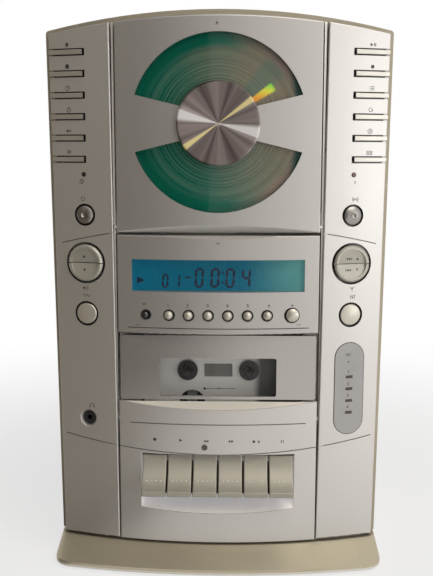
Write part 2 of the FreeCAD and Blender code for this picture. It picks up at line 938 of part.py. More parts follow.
def slim_key(z):
    """Slim key that wraps over the right wing's outer edge, with a flange inside the wing."""
    outside = wing_prism(0, front_y - 2 * overrun, mouth_y).common(front(-slim_key_proud))
    bar = slim_key_block(z, 0, slim_key_depth).common(outside)
    face = [edge for edge in bar.Edges if edge.BoundBox.ZLength < seat_gap
            and edge.BoundBox.XLength > slim_key_height
            and edge.BoundBox.YMin < bow(control_x, -slim_key_proud) + seat_gap]
    bar = bar.makeFillet(face_round, face)
    inset = wall + slide_gap
    inside = wing_prism(inset, front_y - overrun, mouth_y).common(front(inset))
    flange = slim_key_block(z, slim_key_gap + flange_lap, inset + flange_thick).common(inside)
    return bar.fuse(flange).removeSplitter()


def captive(radius, flange_y, face):
    """Round button: the turned outline of its face, then the shank and the flange behind the wall."""
    outline = face + [
        (radius, flange_y), (radius + flange_lap, flange_y), (radius + flange_lap, flange_y + flange_thick),
        (0, flange_y + flange_thick),
    ]
    return turned(outline)


def wing_flange_depth(hole):
    """Depth of a flat flange that clears the inside of the bowed wall round a hole."""
    return bow(hole + flange_lap, wall) - front_y + slide_gap


def power_button():
    hole_flange = power_hole - power_radius + flange_lap
    crown = dome_arc(power_radius, power_dome, -power_dome)
    ball = turned([(0, -power_dome), crown, (0, 0)])
    dimple = Part.makeSphere(power_dimple_ball,
                             Vector(0, power_dimple_depth - power_dome - power_dimple_ball, 0))
    depth = wing_flange_depth(power_hole)
    button = captive(power_radius, depth, [(0, 0), (power_radius, 0)]).fuse(ball).cut(dimple)
    button = button.fuse(rod_y(0, 0, power_radius + hole_flange, depth, depth + flange_thick))
    button.translate(Vector(0, 0, up(power_height)))
    return button.removeSplitter()


def band_button():
    hole_flange = band_hole - band_radius + flange_lap
    crown = -band_dome - band_proud
    face = [(0, crown), dome_arc(band_radius - face_round, band_dome, crown),
            (band_radius, face_round - band_proud)]
    depth = wing_flange_depth(band_hole)
    button = captive(band_radius, depth, face)
    button = button.fuse(rod_y(0, 0, band_radius + hole_flange, depth, depth + flange_thick))
    button.translate(Vector(0, 0, up(band_height)))
    return button.removeSplitter()


def rocker():
    """Round rocker whose two halves slope in to a level split, on a pin across its middle."""
    dish_y = rocker_step - rocker_proud
    body = turned([
        (0, dish_y), (rocker_dish_radius, dish_y), (rocker_dish_radius, -rocker_proud),
        (rocker_radius - 2 * face_round, -rocker_proud), (rocker_radius, 2 * face_round - rocker_proud),
        (rocker_radius, rocker_thick), (0, rocker_thick),
    ])
    valley = side_view([
        (dish_y, rocker_dish_radius), (dish_y, -rocker_dish_radius), (dish_y + rocker_dish_depth, 0),
    ], -rocker_radius, rocker_radius)
    body = body.cut(valley.common(rod_y(0, 0, rocker_dish_radius, dish_y, rocker_thick)))
    split = box(-rocker_radius, rocker_radius, -rocker_proud, dish_y + rocker_dish_depth + rocker_step,
                -rocker_split / 2, rocker_split / 2)
    reach = rocker_reach()
    tongue = box(-rocker_radius / 2, rocker_radius / 2, rocker_thick, rocker_pin_depth, -rocker_lug_radius,
                 rocker_lug_radius)
    pin = rod_x(rocker_pin_depth, 0, rocker_pin, -reach, reach)
    body = body.cut(split).fuse([tongue, pin])
    body.translate(Vector(0, 0, up(rocker_height)))
    return body.removeSplitter()


def bevel_cut(depth, low, rise, lift):
    """Cutter under a slope that climbs from a depth behind the front out to the front's middle."""
    slope = rise / depth
    far = depth + overrun
    return side_view([
        (deep(depth + overrun), up(low) + lift - slope * overrun),
        (deep(-overrun), up(low) + lift + slope * far),
        (deep(-overrun), up(low) - overrun), (deep(depth + overrun), up(low) - overrun),
    ], -stand_width / 2, stand_width / 2)


def window_sectors(radius):
    """The two openings above and below the spokes of the disc door, as prisms along Y."""
    z = up(disc_height)
    slope = math.tan(math.radians(window_spoke_angle))
    reach = radius + overrun
    ring = rod_y(0, z, radius, front_y - overrun, deep(chassis_bay_depth))
    ring = ring.cut(rod_y(0, z, hub_backing, front_y - 2 * overrun, mouth_y))
    sectors = []
    for side in (-1, 1):
        wedge = front_view([
            (0, z + side * window_spoke), (reach, z + side * (window_spoke + slope * reach)),
            (reach, z + side * reach), (-reach, z + side * reach),
            (-reach, z + side * (window_spoke + slope * reach)),
        ], front_y - overrun, deep(chassis_bay_depth))
        sectors.append(ring.common(wedge))
    return sectors


def cd_door():
    sides = ((-centre_half, -centre_half), (centre_half, centre_half))
    shell = arched(sides[0], sides[1], up(door_low), front_drop, front_y - overrun,
                   deep(door_depth)).common(front())
    brow = [edge for edge in front_edges(shell) if edge.BoundBox.ZMin > arch(centre_half) - overrun
            and edge.BoundBox.XLength > centre_half]
    shell = shell.makeFillet(door_top_round, brow)
    uprights = [edge for edge in front_edges(shell) if edge.BoundBox.ZLength > body_height / 4]
    shell = shell.makeFillet(edge_round, uprights)
    shell = shell.cut(bevel_cut(door_bevel_depth, door_low, door_bevel_rise, 0))
    inner = centre_half - wall
    hollow = arched((-inner, -inner), (inner, inner), up(door_low) + wall,
                    front_drop + wall + door_top_round / 2, front_y - overrun,
                    deep(door_depth) + overrun).common(front(wall))
    slope = door_bevel_rise / door_bevel_depth
    hollow = hollow.cut(bevel_cut(door_bevel_depth, door_low, door_bevel_rise, wall * math.hypot(1, slope)))
    shell = shell.cut(hollow)
    z = up(disc_height)
    backing = rod_y(0, z, hub_backing, deep(hub_seat_depth), deep(hub_backing_depth))
    clamp = rod_y(0, z, clamp_radius, deep(hub_backing_depth), deep(disc_depth - clamp_gap))
    pins = [rod_x(deep(door_pin_depth), up(door_pin_height), door_pin, x0, x1) for x0, x1 in
            ((cheek_setback - cheek_outer, -inner), (inner, cheek_outer - cheek_setback))]
    shell = shell.cut(window_sectors(window_radius)).fuse([backing, clamp] + pins)
    hub_seat = rod_y(0, z, hub_radius + seat_gap, front_y - overrun, deep(hub_seat_depth))
    return shell.cut(hub_seat).removeSplitter()


def cd_door_window():
    inset = wall + seat_gap
    z = up(disc_height)
    sheet = rod_y(0, z, window_radius + window_lap, front_y - overrun, deep(chassis_bay_depth))
    sheet = sheet.common(front(inset)).cut(front(inset + window_thick))
    return sheet.cut(rod_y(0, z, hub_backing + seat_gap, front_y - overrun, mouth_y))


def hub_cap():
    cap = turned([
        (0, hub_dish - hub_proud), (hub_radius - 2 * hub_round, -hub_proud),
        (hub_radius - hub_round, -hub_proud),
        (hub_radius, hub_round - hub_proud), (hub_radius, hub_seat_depth), (0, hub_seat_depth),
    ])
    cap.translate(Vector(0, front_y, up(disc_height)))
    return cap


def compact_disc():
    z = up(disc_height)
    disc = rod_y(0, z, disc_radius, deep(disc_depth), deep(disc_depth + disc_thick))
    return disc.cut(rod_y(0, z, disc_bore, front_y, mouth_y))


def turntable():
    seat = disc_depth + disc_thick
    bore = disc_bore - turn_gap
    table = turned([
        (0, deep(disc_depth - table_hub_rise)), (bore - table_hub_taper, deep(disc_depth - table_hub_rise)),
        (bore, deep(disc_depth - table_hub_rise + table_hub_taper)), (bore, deep(seat)),
        (table_radius, deep(seat)), (table_radius, deep(seat + table_thick)),
        (motor_shaft, deep(seat + table_thick)), (motor_shaft, well_back() + motor_length - 2 * wall),
        (0, well_back() + motor_length - 2 * wall),
    ])
    table.translate(Vector(0, 0, up(disc_height)))
    return table


def optical_pickup():
    z = up(disc_height)
    x = pickup_start
    y0 = well_back() + slide_gap
    y1 = y0 + pickup_thick
    sled = box(x - pickup_inner_reach, x + pickup_outer_reach, y0, y1, z - pickup_half, z + pickup_half)
    lens = rod_y(x, z, pickup_lens, deep(disc_depth + disc_thick + pickup_lens_gap), y0)
    return sled.fuse(lens).removeSplitter()


def preset_x(index):
    return (index - (preset_count - 1) / 2) * preset_pitch


def display_panel():
    y0 = front_y - overrun
    low = up(display_low)
    high = up(display_high)
    panel = box(-centre_half, centre_half, y0, mouth_y, low, high).common(front())
    panel = panel.makeFillet(edge_round, front_edges(panel))
    slope = display_bevel_drop / display_bevel_depth
    panel = panel.cut(side_view([
        (deep(display_bevel_depth), high), (y0, high - slope * (display_bevel_depth + overrun)),
        (y0, high + overrun), (deep(display_bevel_depth), high + overrun),
    ], -stand_width / 2, stand_width / 2))
    inner = centre_half - wall
    hollow = box(-inner, inner, y0, mouth_y + overrun, low + wall,
                 high - wall - display_bevel_drop).common(front(wall))
    panel = panel.cut(hollow).fuse(lcd_collar())
    cuts = [box(-lcd_half, lcd_half, y0, deep(lcd_depth), up(lcd_low), up(lcd_high))]
    for index in range(preset_count):
        x = preset_x(index)
        cuts.append(sink(x, up(preset_height), preset_sink, preset_radius + slide_gap, bow(x)))
    cuts.append(sink(memory_x, up(preset_height), memory_sink, memory_radius + slide_gap, bow(memory_x)))
    cuts.append(sink(sensor_x, up(preset_height), sensor_sink, sensor_radius + seat_gap, bow(sensor_x)))
    cuts.append(straight_groove(display_groove_half, up(display_groove_height)))
    return panel.cut(cuts).removeSplitter()


def lcd_collar():
    """Frame inside the display panel that the glass sits in."""
    grow = lcd_border + seat_gap
    y1 = deep(lcd_depth + lcd_thick)
    outer = box(-lcd_half - grow - wall, lcd_half + grow + wall, front_y, y1,
                up(lcd_low) - grow - wall, up(lcd_high) + grow + wall)
    inner = box(-lcd_half - grow, lcd_half + grow, deep(lcd_depth), y1 + overrun, up(lcd_low) - grow,
                up(lcd_high) + grow)
    inside = centre_half - wall / 2
    return outer.common(front(wall / 2)).cut(inner).common(box(-inside, inside, front_y, mouth_y, up(0),
        body_top))


def lcd_display():
    grow = lcd_border
    return box(-lcd_half - grow, lcd_half + grow, deep(lcd_depth), deep(lcd_depth + lcd_thick),
               up(lcd_low) - grow, up(lcd_high) + grow)


def domed_button(x, radius, proud):
    """Round button of the display panel with a domed end."""
    flange_y = bow(abs(x) + radius + flange_lap, wall) + slide_gap
    y = bow(x)
    button = turned([
        (0, y - proud), dome_arc(radius, proud, y - proud), (radius, flange_y),
        (radius + flange_lap, flange_y),
        (radius + flange_lap, flange_y + flange_thick), (0, flange_y + flange_thick),
    ])
    button.translate(Vector(x, 0, up(preset_height)))
    return button


def indicator_leds():
    lamps = []
    lamp = rod_y(0, up(lamp_height), lamp_radius, -lamp_proud, lamp_length)
    lamp = lamp.makeFillet(lamp_proud, [edge for edge in lamp.Edges if edge.BoundBox.YMax < seat_gap])
    lamps.append(on_right(lamp))
    lamps.append(on_left(lamp))
    for bar in eq_bars(0, -eq_proud, eq_bar_length):
        lamps.append(on_right(bar))
    y = bow(record_lamp_x)
    lamps.append(rod_y(record_lamp_x, up(record_lamp_height), record_lamp_radius, y - lamp_proud,
                       y + lamp_length))
    y = bow(sensor_x)
    dome = Part.makeSphere(sensor_radius,
                           Vector(sensor_x, y + sensor_radius - sensor_proud, up(preset_height)))
    stem = rod_y(sensor_x, up(preset_height), sensor_radius, y + sensor_radius - sensor_proud,
                 y + lamp_length)
    lamps.append(dome.fuse(stem).removeSplitter())
    return Part.makeCompound(lamps)


def cassette_door():
    y0 = deep(tape_depth)
    y1 = y0 + tape_thick
    plate = box(-tape_half, tape_half, y0, y1, up(tape_low), up(tape_high))
    corners = [edge for edge in plate.Edges if edge.BoundBox.YLength > tape_thick / 2]
    plate = plate.makeFillet(tape_corner, corners)
    opening = box(-tape_window_half, tape_window_half, y0 - overrun, y1 + overrun, up(tape_window_low),
                  up(tape_window_high))
    corners = [edge for edge in opening.Edges if edge.BoundBox.YLength > tape_thick]
    plate = plate.cut(opening.makeFillet(tape_corner, corners))
    pieces = [plate]
    for side in (-1, 1):
        pieces.extend(holder_arm(side, y1))
    return fused(*pieces)


def holder_arm(side, y1):
    """One side channel of the cassette holder, with its neck, its foot ledge and its hinge pin."""
    x0, x1 = sorted((side * holder_half, side * (holder_half + holder_wall)))
    back = deep(holder_back)
    neck = deep(holder_neck_depth)
    arm = side_view([
        (y1, up(tape_high) - panel_gap), (y1, up(holder_neck_high)), (neck, up(holder_neck_high)),
        (neck, up(holder_neck_low)), (deep(tape_pin_depth), up(tape_pin_height) + tape_hub),
        (deep(tape_pin_depth), up(holder_low)), (back, up(holder_low)), (back, up(tape_high) - panel_gap),
    ], x0, x1)
    hub = rod_x(deep(tape_pin_depth), up(tape_pin_height), tape_hub, x0, x1)
    pin_ends = sorted((side * holder_half, side * cheek_outer))
    pin = rod_x(deep(tape_pin_depth), up(tape_pin_height), tape_pin, pin_ends[0], pin_ends[1])
    ledge_ends = sorted((side * (holder_half + holder_wall), side * (holder_half - holder_ledge)))
    ledge = box(ledge_ends[0], ledge_ends[1], deep(tape_pin_depth), back, up(holder_low),
                up(holder_low) + holder_ledge_thick)
    return [arm, hub, pin, ledge]


def cassette_window():
    y0 = deep(tape_depth) + tape_thick
    lap = tape_window_lap
    return box(-tape_window_half - lap, tape_window_half + lap, y0, y0 + tape_window_thick,
               up(tape_window_low) - lap, up(tape_window_high) + lap)


def tape_deck_plate():
    y0 = mouth_y - deck_thick
    plate = box(-deck_half, deck_half, y0, mouth_y, up(deck_low), up(deck_high))
    bar = box(capstan_x - capstan_boss, capstan_x + capstan_boss, mouth_y, mouth_y + capstan_boss_length,
              up(capstan_height), up(capstan_height) + capstan_mouth + capstan_boss)
    boss = rod_y(capstan_x, up(capstan_height), capstan_boss, mouth_y, mouth_y + capstan_boss_length)
    mouth = rod_y(capstan_x, up(capstan_height), capstan_mouth, y0 - overrun, mouth_y)
    mouth = mouth.fuse(box(capstan_x - capstan_mouth, capstan_x + capstan_mouth, y0 - overrun, mouth_y,
                           up(bridge_high) + bridge_lift, up(capstan_height)))
    peep = box(-peep_half, peep_half, y0 - overrun, y0 + peep_depth, up(peep_low), up(peep_high))
    plate = plate.cut([mouth, peep]).fuse([bar, boss])
    holes = [rod_y(capstan_x, up(capstan_height), capstan_radius + turn_gap, y0 - overrun,
                   mouth_y + 2 * overrun)]
    for side in (-1, 1):
        holes.append(rod_y(side * spindle_x, up(spindle_height), spindle_axle + turn_gap, y0 - overrun,
                           mouth_y + overrun))
    plate = plate.cut(holes)
    for side in (-1, 1):
        plate = plate.fuse(rod_y(side * guide_x, up(guide_height), guide_radius,
                                 y0 - deck_clear - bridge_thick, y0))
    return plate.removeSplitter()


def reel_spindle(x):
    """Reel spindle: finned drive shaft and flange before the plate, reel table behind it."""
    z = up(spindle_height)
    front_face = mouth_y - deck_thick - deck_clear
    behind = mouth_y + chassis_thick
    body = turned([
        (0, deep(spindle_tip_depth)), (spindle_shaft / 2, deep(spindle_tip_depth)),
        (spindle_shaft, deep(spindle_tip_depth) + spindle_shaft),
        (spindle_shaft, front_face - spindle_flange_thick),
        (spindle_flange, front_face - spindle_flange_thick), (spindle_flange, front_face),
        (spindle_axle, front_face), (spindle_axle, behind), (reel_radius, behind),
        (reel_radius, behind + reel_thick),
        (0, behind + reel_thick),
    ])
    fin_y = deep(spindle_tip_depth) + spindle_shaft
    for index in range(spindle_fin_count):
        fin = box(0, spindle_fin_reach, fin_y, fin_y + spindle_fin_length, -spindle_fin_thick / 2,
                  spindle_fin_thick / 2)
        fin.rotate(Vector(0, 0, 0), Vector(0, 1, 0), index * 360 / spindle_fin_count)
        body = body.fuse(fin)
    body.translate(Vector(x, 0, z))
    return body.removeSplitter()


def capstan_flywheel():
    y0 = mouth_y + capstan_boss_length + chassis_thick + reel_thick
    y1 = y0 + flywheel_thick
    wheel = turned([
        (0, deep(capstan_tip_depth)), (capstan_radius, deep(capstan_tip_depth)), (capstan_radius, y0),
        (flywheel_radius, y0), (flywheel_radius, y1), (flywheel_radius - flywheel_rim, y1),
        (flywheel_radius - flywheel_rim, y0 + flywheel_web), (flywheel_rim, y0 + flywheel_web),
        (flywheel_rim, y1), (0, y1),
    ])
    wheel.translate(Vector(capstan_x, 0, up(capstan_height)))
    return wheel


def head_bridge():
    """Sliding bridge on two guide pins, carrying the tape head, the erase head and the pinch roller."""
    y1 = mouth_y - deck_thick - deck_clear
    y0 = y1 - bridge_thick
    bridge = box(-bridge_half, bridge_half, y0, y1, up(bridge_low), up(bridge_high))
    for side in (-1, 1):
        slot = box(side * guide_x - guide_radius - slide_gap, side * guide_x + guide_radius + slide_gap,
                   y0 - overrun,
                   y1 + overrun, up(guide_height) - bridge_lift, up(guide_height))
        ends = [rod_y(side * guide_x, z, guide_radius + slide_gap, y0 - overrun, y1 + overrun)
                for z in (up(guide_height) - bridge_lift, up(guide_height))]
        bridge = bridge.cut([slot] + ends)
    top = up(bridge_high)
    head = side_view([
        (y0, top - head_height), (deep(head_depth), top - head_height), (deep(head_depth), top - head_nose),
        (deep(head_depth) + head_nose, top), (y0, top),
    ], -head_half, head_half)
    erase = box(head_half + head_nose, 2 * head_half, deep(head_depth), y0, top - head_height,
                top - head_nose)
    roller = rod_y(capstan_x + roller_radius, up(roller_height), roller_radius, deep(head_depth), y0)
    return fused(bridge, head, erase, roller)


def recess_floor_at(depth):
    return up(recess_floor) + depth * math.tan(math.radians(recess_floor_angle))


def key_panel():
    y0 = front_y - overrun
    slope = (ledge_high - ledge_low) / ledge_depth
    shift = wall * math.hypot(1, slope)
    solid = box(-centre_half, centre_half, y0, mouth_y, up(0), up(ledge_high)).common(front())
    uprights = [edge for edge in front_edges(solid) if edge.BoundBox.ZLength > ledge_high / 2]
    solid = solid.makeFillet(edge_round, uprights)
    solid = solid.cut(side_view([
        (deep(ledge_depth), up(ledge_high)), (deep(ledge_depth), up(ledge_high) + overrun),
        (y0, up(ledge_high) + overrun), (y0, up(ledge_low) - slope * overrun),
    ], -stand_width / 2, stand_width / 2))
    inner = centre_half - wall
    hollow = side_view([
        (y0, up(0) + wall), (y0, up(ledge_low) - slope * overrun - shift),
        (deep(ledge_depth), up(ledge_high) - shift),
        (deep(ledge_depth), up(ledge_high) + overrun), (mouth_y + overrun, up(ledge_high) + overrun),
        (mouth_y + overrun, up(0) + wall),
    ], -inner, inner).common(front(wall))
    panel = solid.cut(hollow)
    for side in (-1, 1):
        x0, x1 = sorted((side * recess_half, side * (centre_half + overrun)))
        panel = panel.cut(box(x0, x1, deep(panel_notch_depth), mouth_y + overrun, up(panel_notch_low),
                              up(ledge_high) + overrun))
    panel = panel.cut(recess_block(recess_half, 0)).fuse(recess_frame())
    y = bow(record_lamp_x)
    cuts = [
        straight_groove(panel_groove_half, up(panel_groove_height)),
        rod_y(record_lamp_x, up(record_lamp_height), record_lamp_radius + seat_gap, y - overrun,
              y + overrun),
        seam_groove(up(seam_low), seam_low_radius, False, -centre_half, centre_half),
        rod_x(deep(rod_depth), up(rod_height), rod_radius + turn_gap, -centre_half, centre_half),
    ]
    return panel.cut(cuts).removeSplitter()


def recess_block(half, lift):
    """Space of the key recess above its sloping floor, as a prism along X."""
    return side_view([
        (front_y - overrun, recess_floor_at(-overrun) - lift),
        (deep(recess_floor_depth), recess_floor_at(recess_floor_depth) - lift),
        (deep(recess_depth), recess_floor_at(recess_floor_depth) - lift),
        (deep(recess_depth), up(recess_high)),
        (front_y - overrun, up(recess_high)),
    ], -half, half)


def recess_frame():
    """Sloping floor under the keys, and the side walls that carry the ends of their pivot rod."""
    shelf = recess_block(recess_half + wall, wall).cut(recess_block(recess_half, 0))
    shelf = shelf.common(front(wall / 2))
    behind = box(-recess_half, recess_half, deep(recess_floor_depth), mouth_y, up(0),
                 up(recess_high) + overrun)
    return shelf.cut(behind)


def piano_x(index):
    return (index - (piano_count - 1) / 2) * piano_pitch


def piano_key(index):
    """Piano key whose face curves out to a rounded lip, hung on the pivot rod."""
    x0 = piano_x(index) - piano_width / 2
    x1 = x0 + piano_width
    reach = piano_top_depth - piano_lip_depth
    fall = piano_height - piano_lip_height
    sag = piano_curve / math.hypot(reach, fall)
    middle = (deep(piano_top_depth - reach / 2 + sag * fall), up(piano_top - fall / 2 - sag * reach))
    key = side_view([
        (deep(piano_top_depth), up(piano_top)), (middle, (deep(piano_lip_depth), up(piano_top - fall))),
        (deep(piano_lip_depth), up(piano_low)), (deep(piano_lip_depth + piano_lip_thick), up(piano_low)),
        (deep(piano_under_depth), up(piano_low + piano_under_rise)),
        (deep(piano_back_depth), up(piano_back_height)), (deep(rod_depth), up(rod_height) - rod_hub),
        (deep(rod_depth), up(piano_top)),
    ], x0, x1)
    lip = [edge for edge in key.Edges if edge.BoundBox.YMax < deep(piano_lip_depth) + seat_gap
           and edge.BoundBox.XLength > seat_gap]
    key = key.makeFillet(piano_lip_round, lip)
    brink = deep(piano_top_depth) + seat_gap
    sides = [edge for edge in key.Edges if edge.BoundBox.XLength < seat_gap and edge.BoundBox.YMax < brink
             and edge.BoundBox.YMin < deep(piano_lip_depth + piano_lip_round)]
    key = key.makeFillet(piano_edge, sides)
    hub = rod_x(deep(rod_depth), up(rod_height), rod_hub, x0, x1)
    bore = rod_x(deep(rod_depth), up(rod_height), rod_radius + turn_gap, x0 - overrun, x1 + overrun)
    return key.fuse(hub).cut(bore).removeSplitter()


def key_pivot_rod():
    reach = recess_half + wall
    return rod_x(deep(rod_depth), up(rod_height), rod_radius, -reach, reach)


def main_circuit_board():
    y1 = back_y - cabinet_wall - post_length
    y0 = y1 - board_thick
    board = box(-board_half, board_half, y0, y1, up(board_low), up(board_high))
    z = up(board_low) + capacitor_radius + board_post_inset
    for side in (-1, 1):
        board = board.fuse(rod_y(side * capacitor_radius * 2, z, capacitor_radius,
                                 y0 - capacitor_length, y0))
    top = up(board_high) - board_post_inset
    heat_sink = box(-sink_half, sink_half, y0 - sink_base, y0, top - sink_height, top)
    step = (2 * sink_half - sink_fin_thick) / (sink_fin_count - 1)
    for index in range(sink_fin_count):
        x = index * step - sink_half
        heat_sink = heat_sink.fuse(box(x, x + sink_fin_thick, y0 - sink_fin_length, y0,
                                       top - sink_height, top))
    return board.fuse(heat_sink).removeSplitter()


def power_transformer():
    floor = body_bottom + cabinet_wall
    y1 = back_y - transformer_setback
    y0 = y1 - transformer_depth
    half = transformer_half
    core = box(-half, half, y0 + transformer_coil_lap, y1 - transformer_coil_lap, floor,
               floor + transformer_height)
    coil = box(transformer_coil_inset - half, half - transformer_coil_inset, y0, y1,
               floor + transformer_coil_inset,
               floor + transformer_height - transformer_coil_inset)
    feet = box(-half - transformer_flange, half + transformer_flange, y0 + transformer_coil_lap,
               y1 - transformer_coil_lap, floor, floor + transformer_flange_thick)
    return fused(core, coil, feet)


def rear_socket(x):
    """One socket: a barrel with a blind bore, pushed through the plate up to its shoulder."""
    y1 = back_y + socket_plate_thick
    z = up(socket_height)
    barrel = rod_y(x, z, socket_barrel, back_y - cabinet_wall, y1 + socket_length)
    shoulder = rod_y(x, z, socket_shoulder, y1, y1 + socket_shoulder_length)
    bore = rod_y(x, z, socket_bore, y1 + socket_length - socket_bore_length, y1 + socket_length)
    return barrel.fuse(shoulder).cut(bore).removeSplitter()


def rear_jack_panel():
    half = socket_plate_half
    y1 = back_y + socket_plate_thick
    plate = box(-half, half, back_y, y1, up(socket_plate_low), up(socket_plate_high))
    plug = box(socket_lap + seat_gap - half, half - socket_lap - seat_gap, back_y - cabinet_wall, back_y,
               up(socket_plate_low + socket_lap) + seat_gap, up(socket_plate_high - socket_lap) - seat_gap)
    z = up(socket_height)
    inlet_case = box(inlet_x - inlet_half_width - inlet_wall, inlet_x + inlet_half_width + inlet_wall,
                     y1 - inlet_depth - inlet_wall, back_y, z - inlet_half_height - inlet_wall,
                     z + inlet_half_height + inlet_wall)
    inlet = box(inlet_x - inlet_half_width, inlet_x + inlet_half_width, y1 - inlet_depth, y1 + overrun,
                z - inlet_half_height, z + inlet_half_height)
    panel = fused(plate, plug, inlet_case).cut(inlet)
    places = (speaker_x, speaker_x + speaker_pitch, aerial_x)
    for x in places:
        panel = panel.cut(rod_y(x, z, socket_barrel + seat_gap, back_y - overrun, y1 + overrun))
    return Part.makeCompound([panel.removeSplitter()] + [rear_socket(x) for x in places])


def all_nodes():
    """Every piece of the player under its own name."""
    nodes = {
        "base_stand": base_stand(), "rubber_feet": rubber_feet(), "rear_cabinet": rear_cabinet(),
        "front_chassis": front_chassis(), "left_wing": left_wing(), "right_wing": right_wing(),
        "equalizer_window": equalizer_window(), "headphone_jack": headphone_jack(),
        "indicator_leds": indicator_leds(), "cd_door": cd_door(), "cd_door_window": cd_door_window(),
        "hub_cap": hub_cap(), "compact_disc": compact_disc(), "turntable": turntable(),
        "optical_pickup": optical_pickup(), "display_panel": display_panel(), "lcd_display": lcd_display(),
        "cassette_door": cassette_door(), "cassette_window": cassette_window(),
        "tape_deck_plate": tape_deck_plate(), "supply_spindle": reel_spindle(-spindle_x),
        "take_up_spindle": reel_spindle(spindle_x), "capstan_flywheel": capstan_flywheel(),
        "head_bridge": head_bridge(), "key_panel": key_panel(), "key_pivot_rod": key_pivot_rod(),
        "main_circuit_board": main_circuit_board(), "power_transformer": power_transformer(),
        "rear_jack_panel": rear_jack_panel(), "power_button": on_left(power_button()),
        "surround_button": on_right(power_button()), "volume_rocker": on_left(rocker()),
        "tuning_rocker": on_right(rocker()), "band_button": on_left(band_button()),
        "equalizer_button": on_right(band_button()),
        "memory_button": domed_button(memory_x, memory_radius, memory_proud),
    }
    left_names = ("snooze_key", "sleep_key", "clock_key", "timer_key", "mute_key", "backlight_key")
    right_names = ("disc_play_key", "disc_stop_key", "program_key", "repeat_key", "disc_source_key",
                   "tape_source_key")
    for z, left, right in zip(slim_key_heights(), left_names, right_names):
        key = slim_key(z)
        nodes[right] = key
        nodes[left] = mirrored(key)
    piano_names = ("record_key", "play_key", "rewind_key", "fast_forward_key", "stop_eject_key",
                   "pause_key")
    for index, name in enumerate(piano_names):
        nodes[name] = piano_key(index)
    for index in range(preset_count):
        nodes["preset_button_%d" % (index + 1)] = domed_button(preset_x(index), preset_radius, preset_proud)
    return nodes


os.makedirs("parts", exist_ok=True)
for name, shape in all_nodes().items():
    shape.exportStep("parts/" + name + ".step")
    print(name, len(shape.Solids), shape.isValid(), round(shape.Volume))
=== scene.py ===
import bpy
import math
from mathutils import Matrix, Vector
from mathutils.bvhtree import BVHTree


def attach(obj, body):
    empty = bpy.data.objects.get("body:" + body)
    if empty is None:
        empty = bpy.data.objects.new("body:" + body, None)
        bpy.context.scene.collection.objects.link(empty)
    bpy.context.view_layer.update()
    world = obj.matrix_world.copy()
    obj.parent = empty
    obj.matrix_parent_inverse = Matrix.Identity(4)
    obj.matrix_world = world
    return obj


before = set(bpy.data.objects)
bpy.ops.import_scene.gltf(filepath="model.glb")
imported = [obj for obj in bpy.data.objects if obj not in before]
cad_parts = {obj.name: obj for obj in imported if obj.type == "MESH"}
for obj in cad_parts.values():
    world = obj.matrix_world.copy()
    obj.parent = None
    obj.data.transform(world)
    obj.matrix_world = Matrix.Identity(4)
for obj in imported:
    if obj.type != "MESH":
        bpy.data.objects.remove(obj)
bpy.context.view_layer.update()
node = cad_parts
scene = bpy.context.scene
scene.view_settings.view_transform = "Standard"


# Camera: a hand-held shot from 0.6 m, level with the disc, tipped down a little
# and a little right of the middle of the tower. The frame is 433 by 576 pixels.
focal_pixels, frame_pixels, sensor_height = 900.0, 576.0, 36.0
eye = Vector((0.01147, -0.66399, 0.28360))
yaw, tip, roll = math.radians(-1.211), math.radians(8.57), math.radians(0.099)
ahead = Vector((math.sin(yaw) * math.cos(tip), math.cos(yaw) * math.cos(tip), -math.sin(tip)))
level = Vector((math.cos(yaw), -math.sin(yaw), 0))
overhead = level.cross(ahead)
across = level * math.cos(roll) + overhead * math.sin(roll)
upward = overhead * math.cos(roll) - level * math.sin(roll)
camera = bpy.data.objects.new("camera", bpy.data.cameras.new("camera"))
camera.data.sensor_fit = "VERTICAL"
camera.data.sensor_height = sensor_height
camera.data.lens = focal_pixels / frame_pixels * sensor_height
camera.data.clip_start = 0.01
turn = Matrix((across, upward, -ahead)).transposed().to_4x4()
camera.matrix_world = Matrix.Translation(eye) @ turn
scene.collection.objects.link(camera)
scene.camera = camera


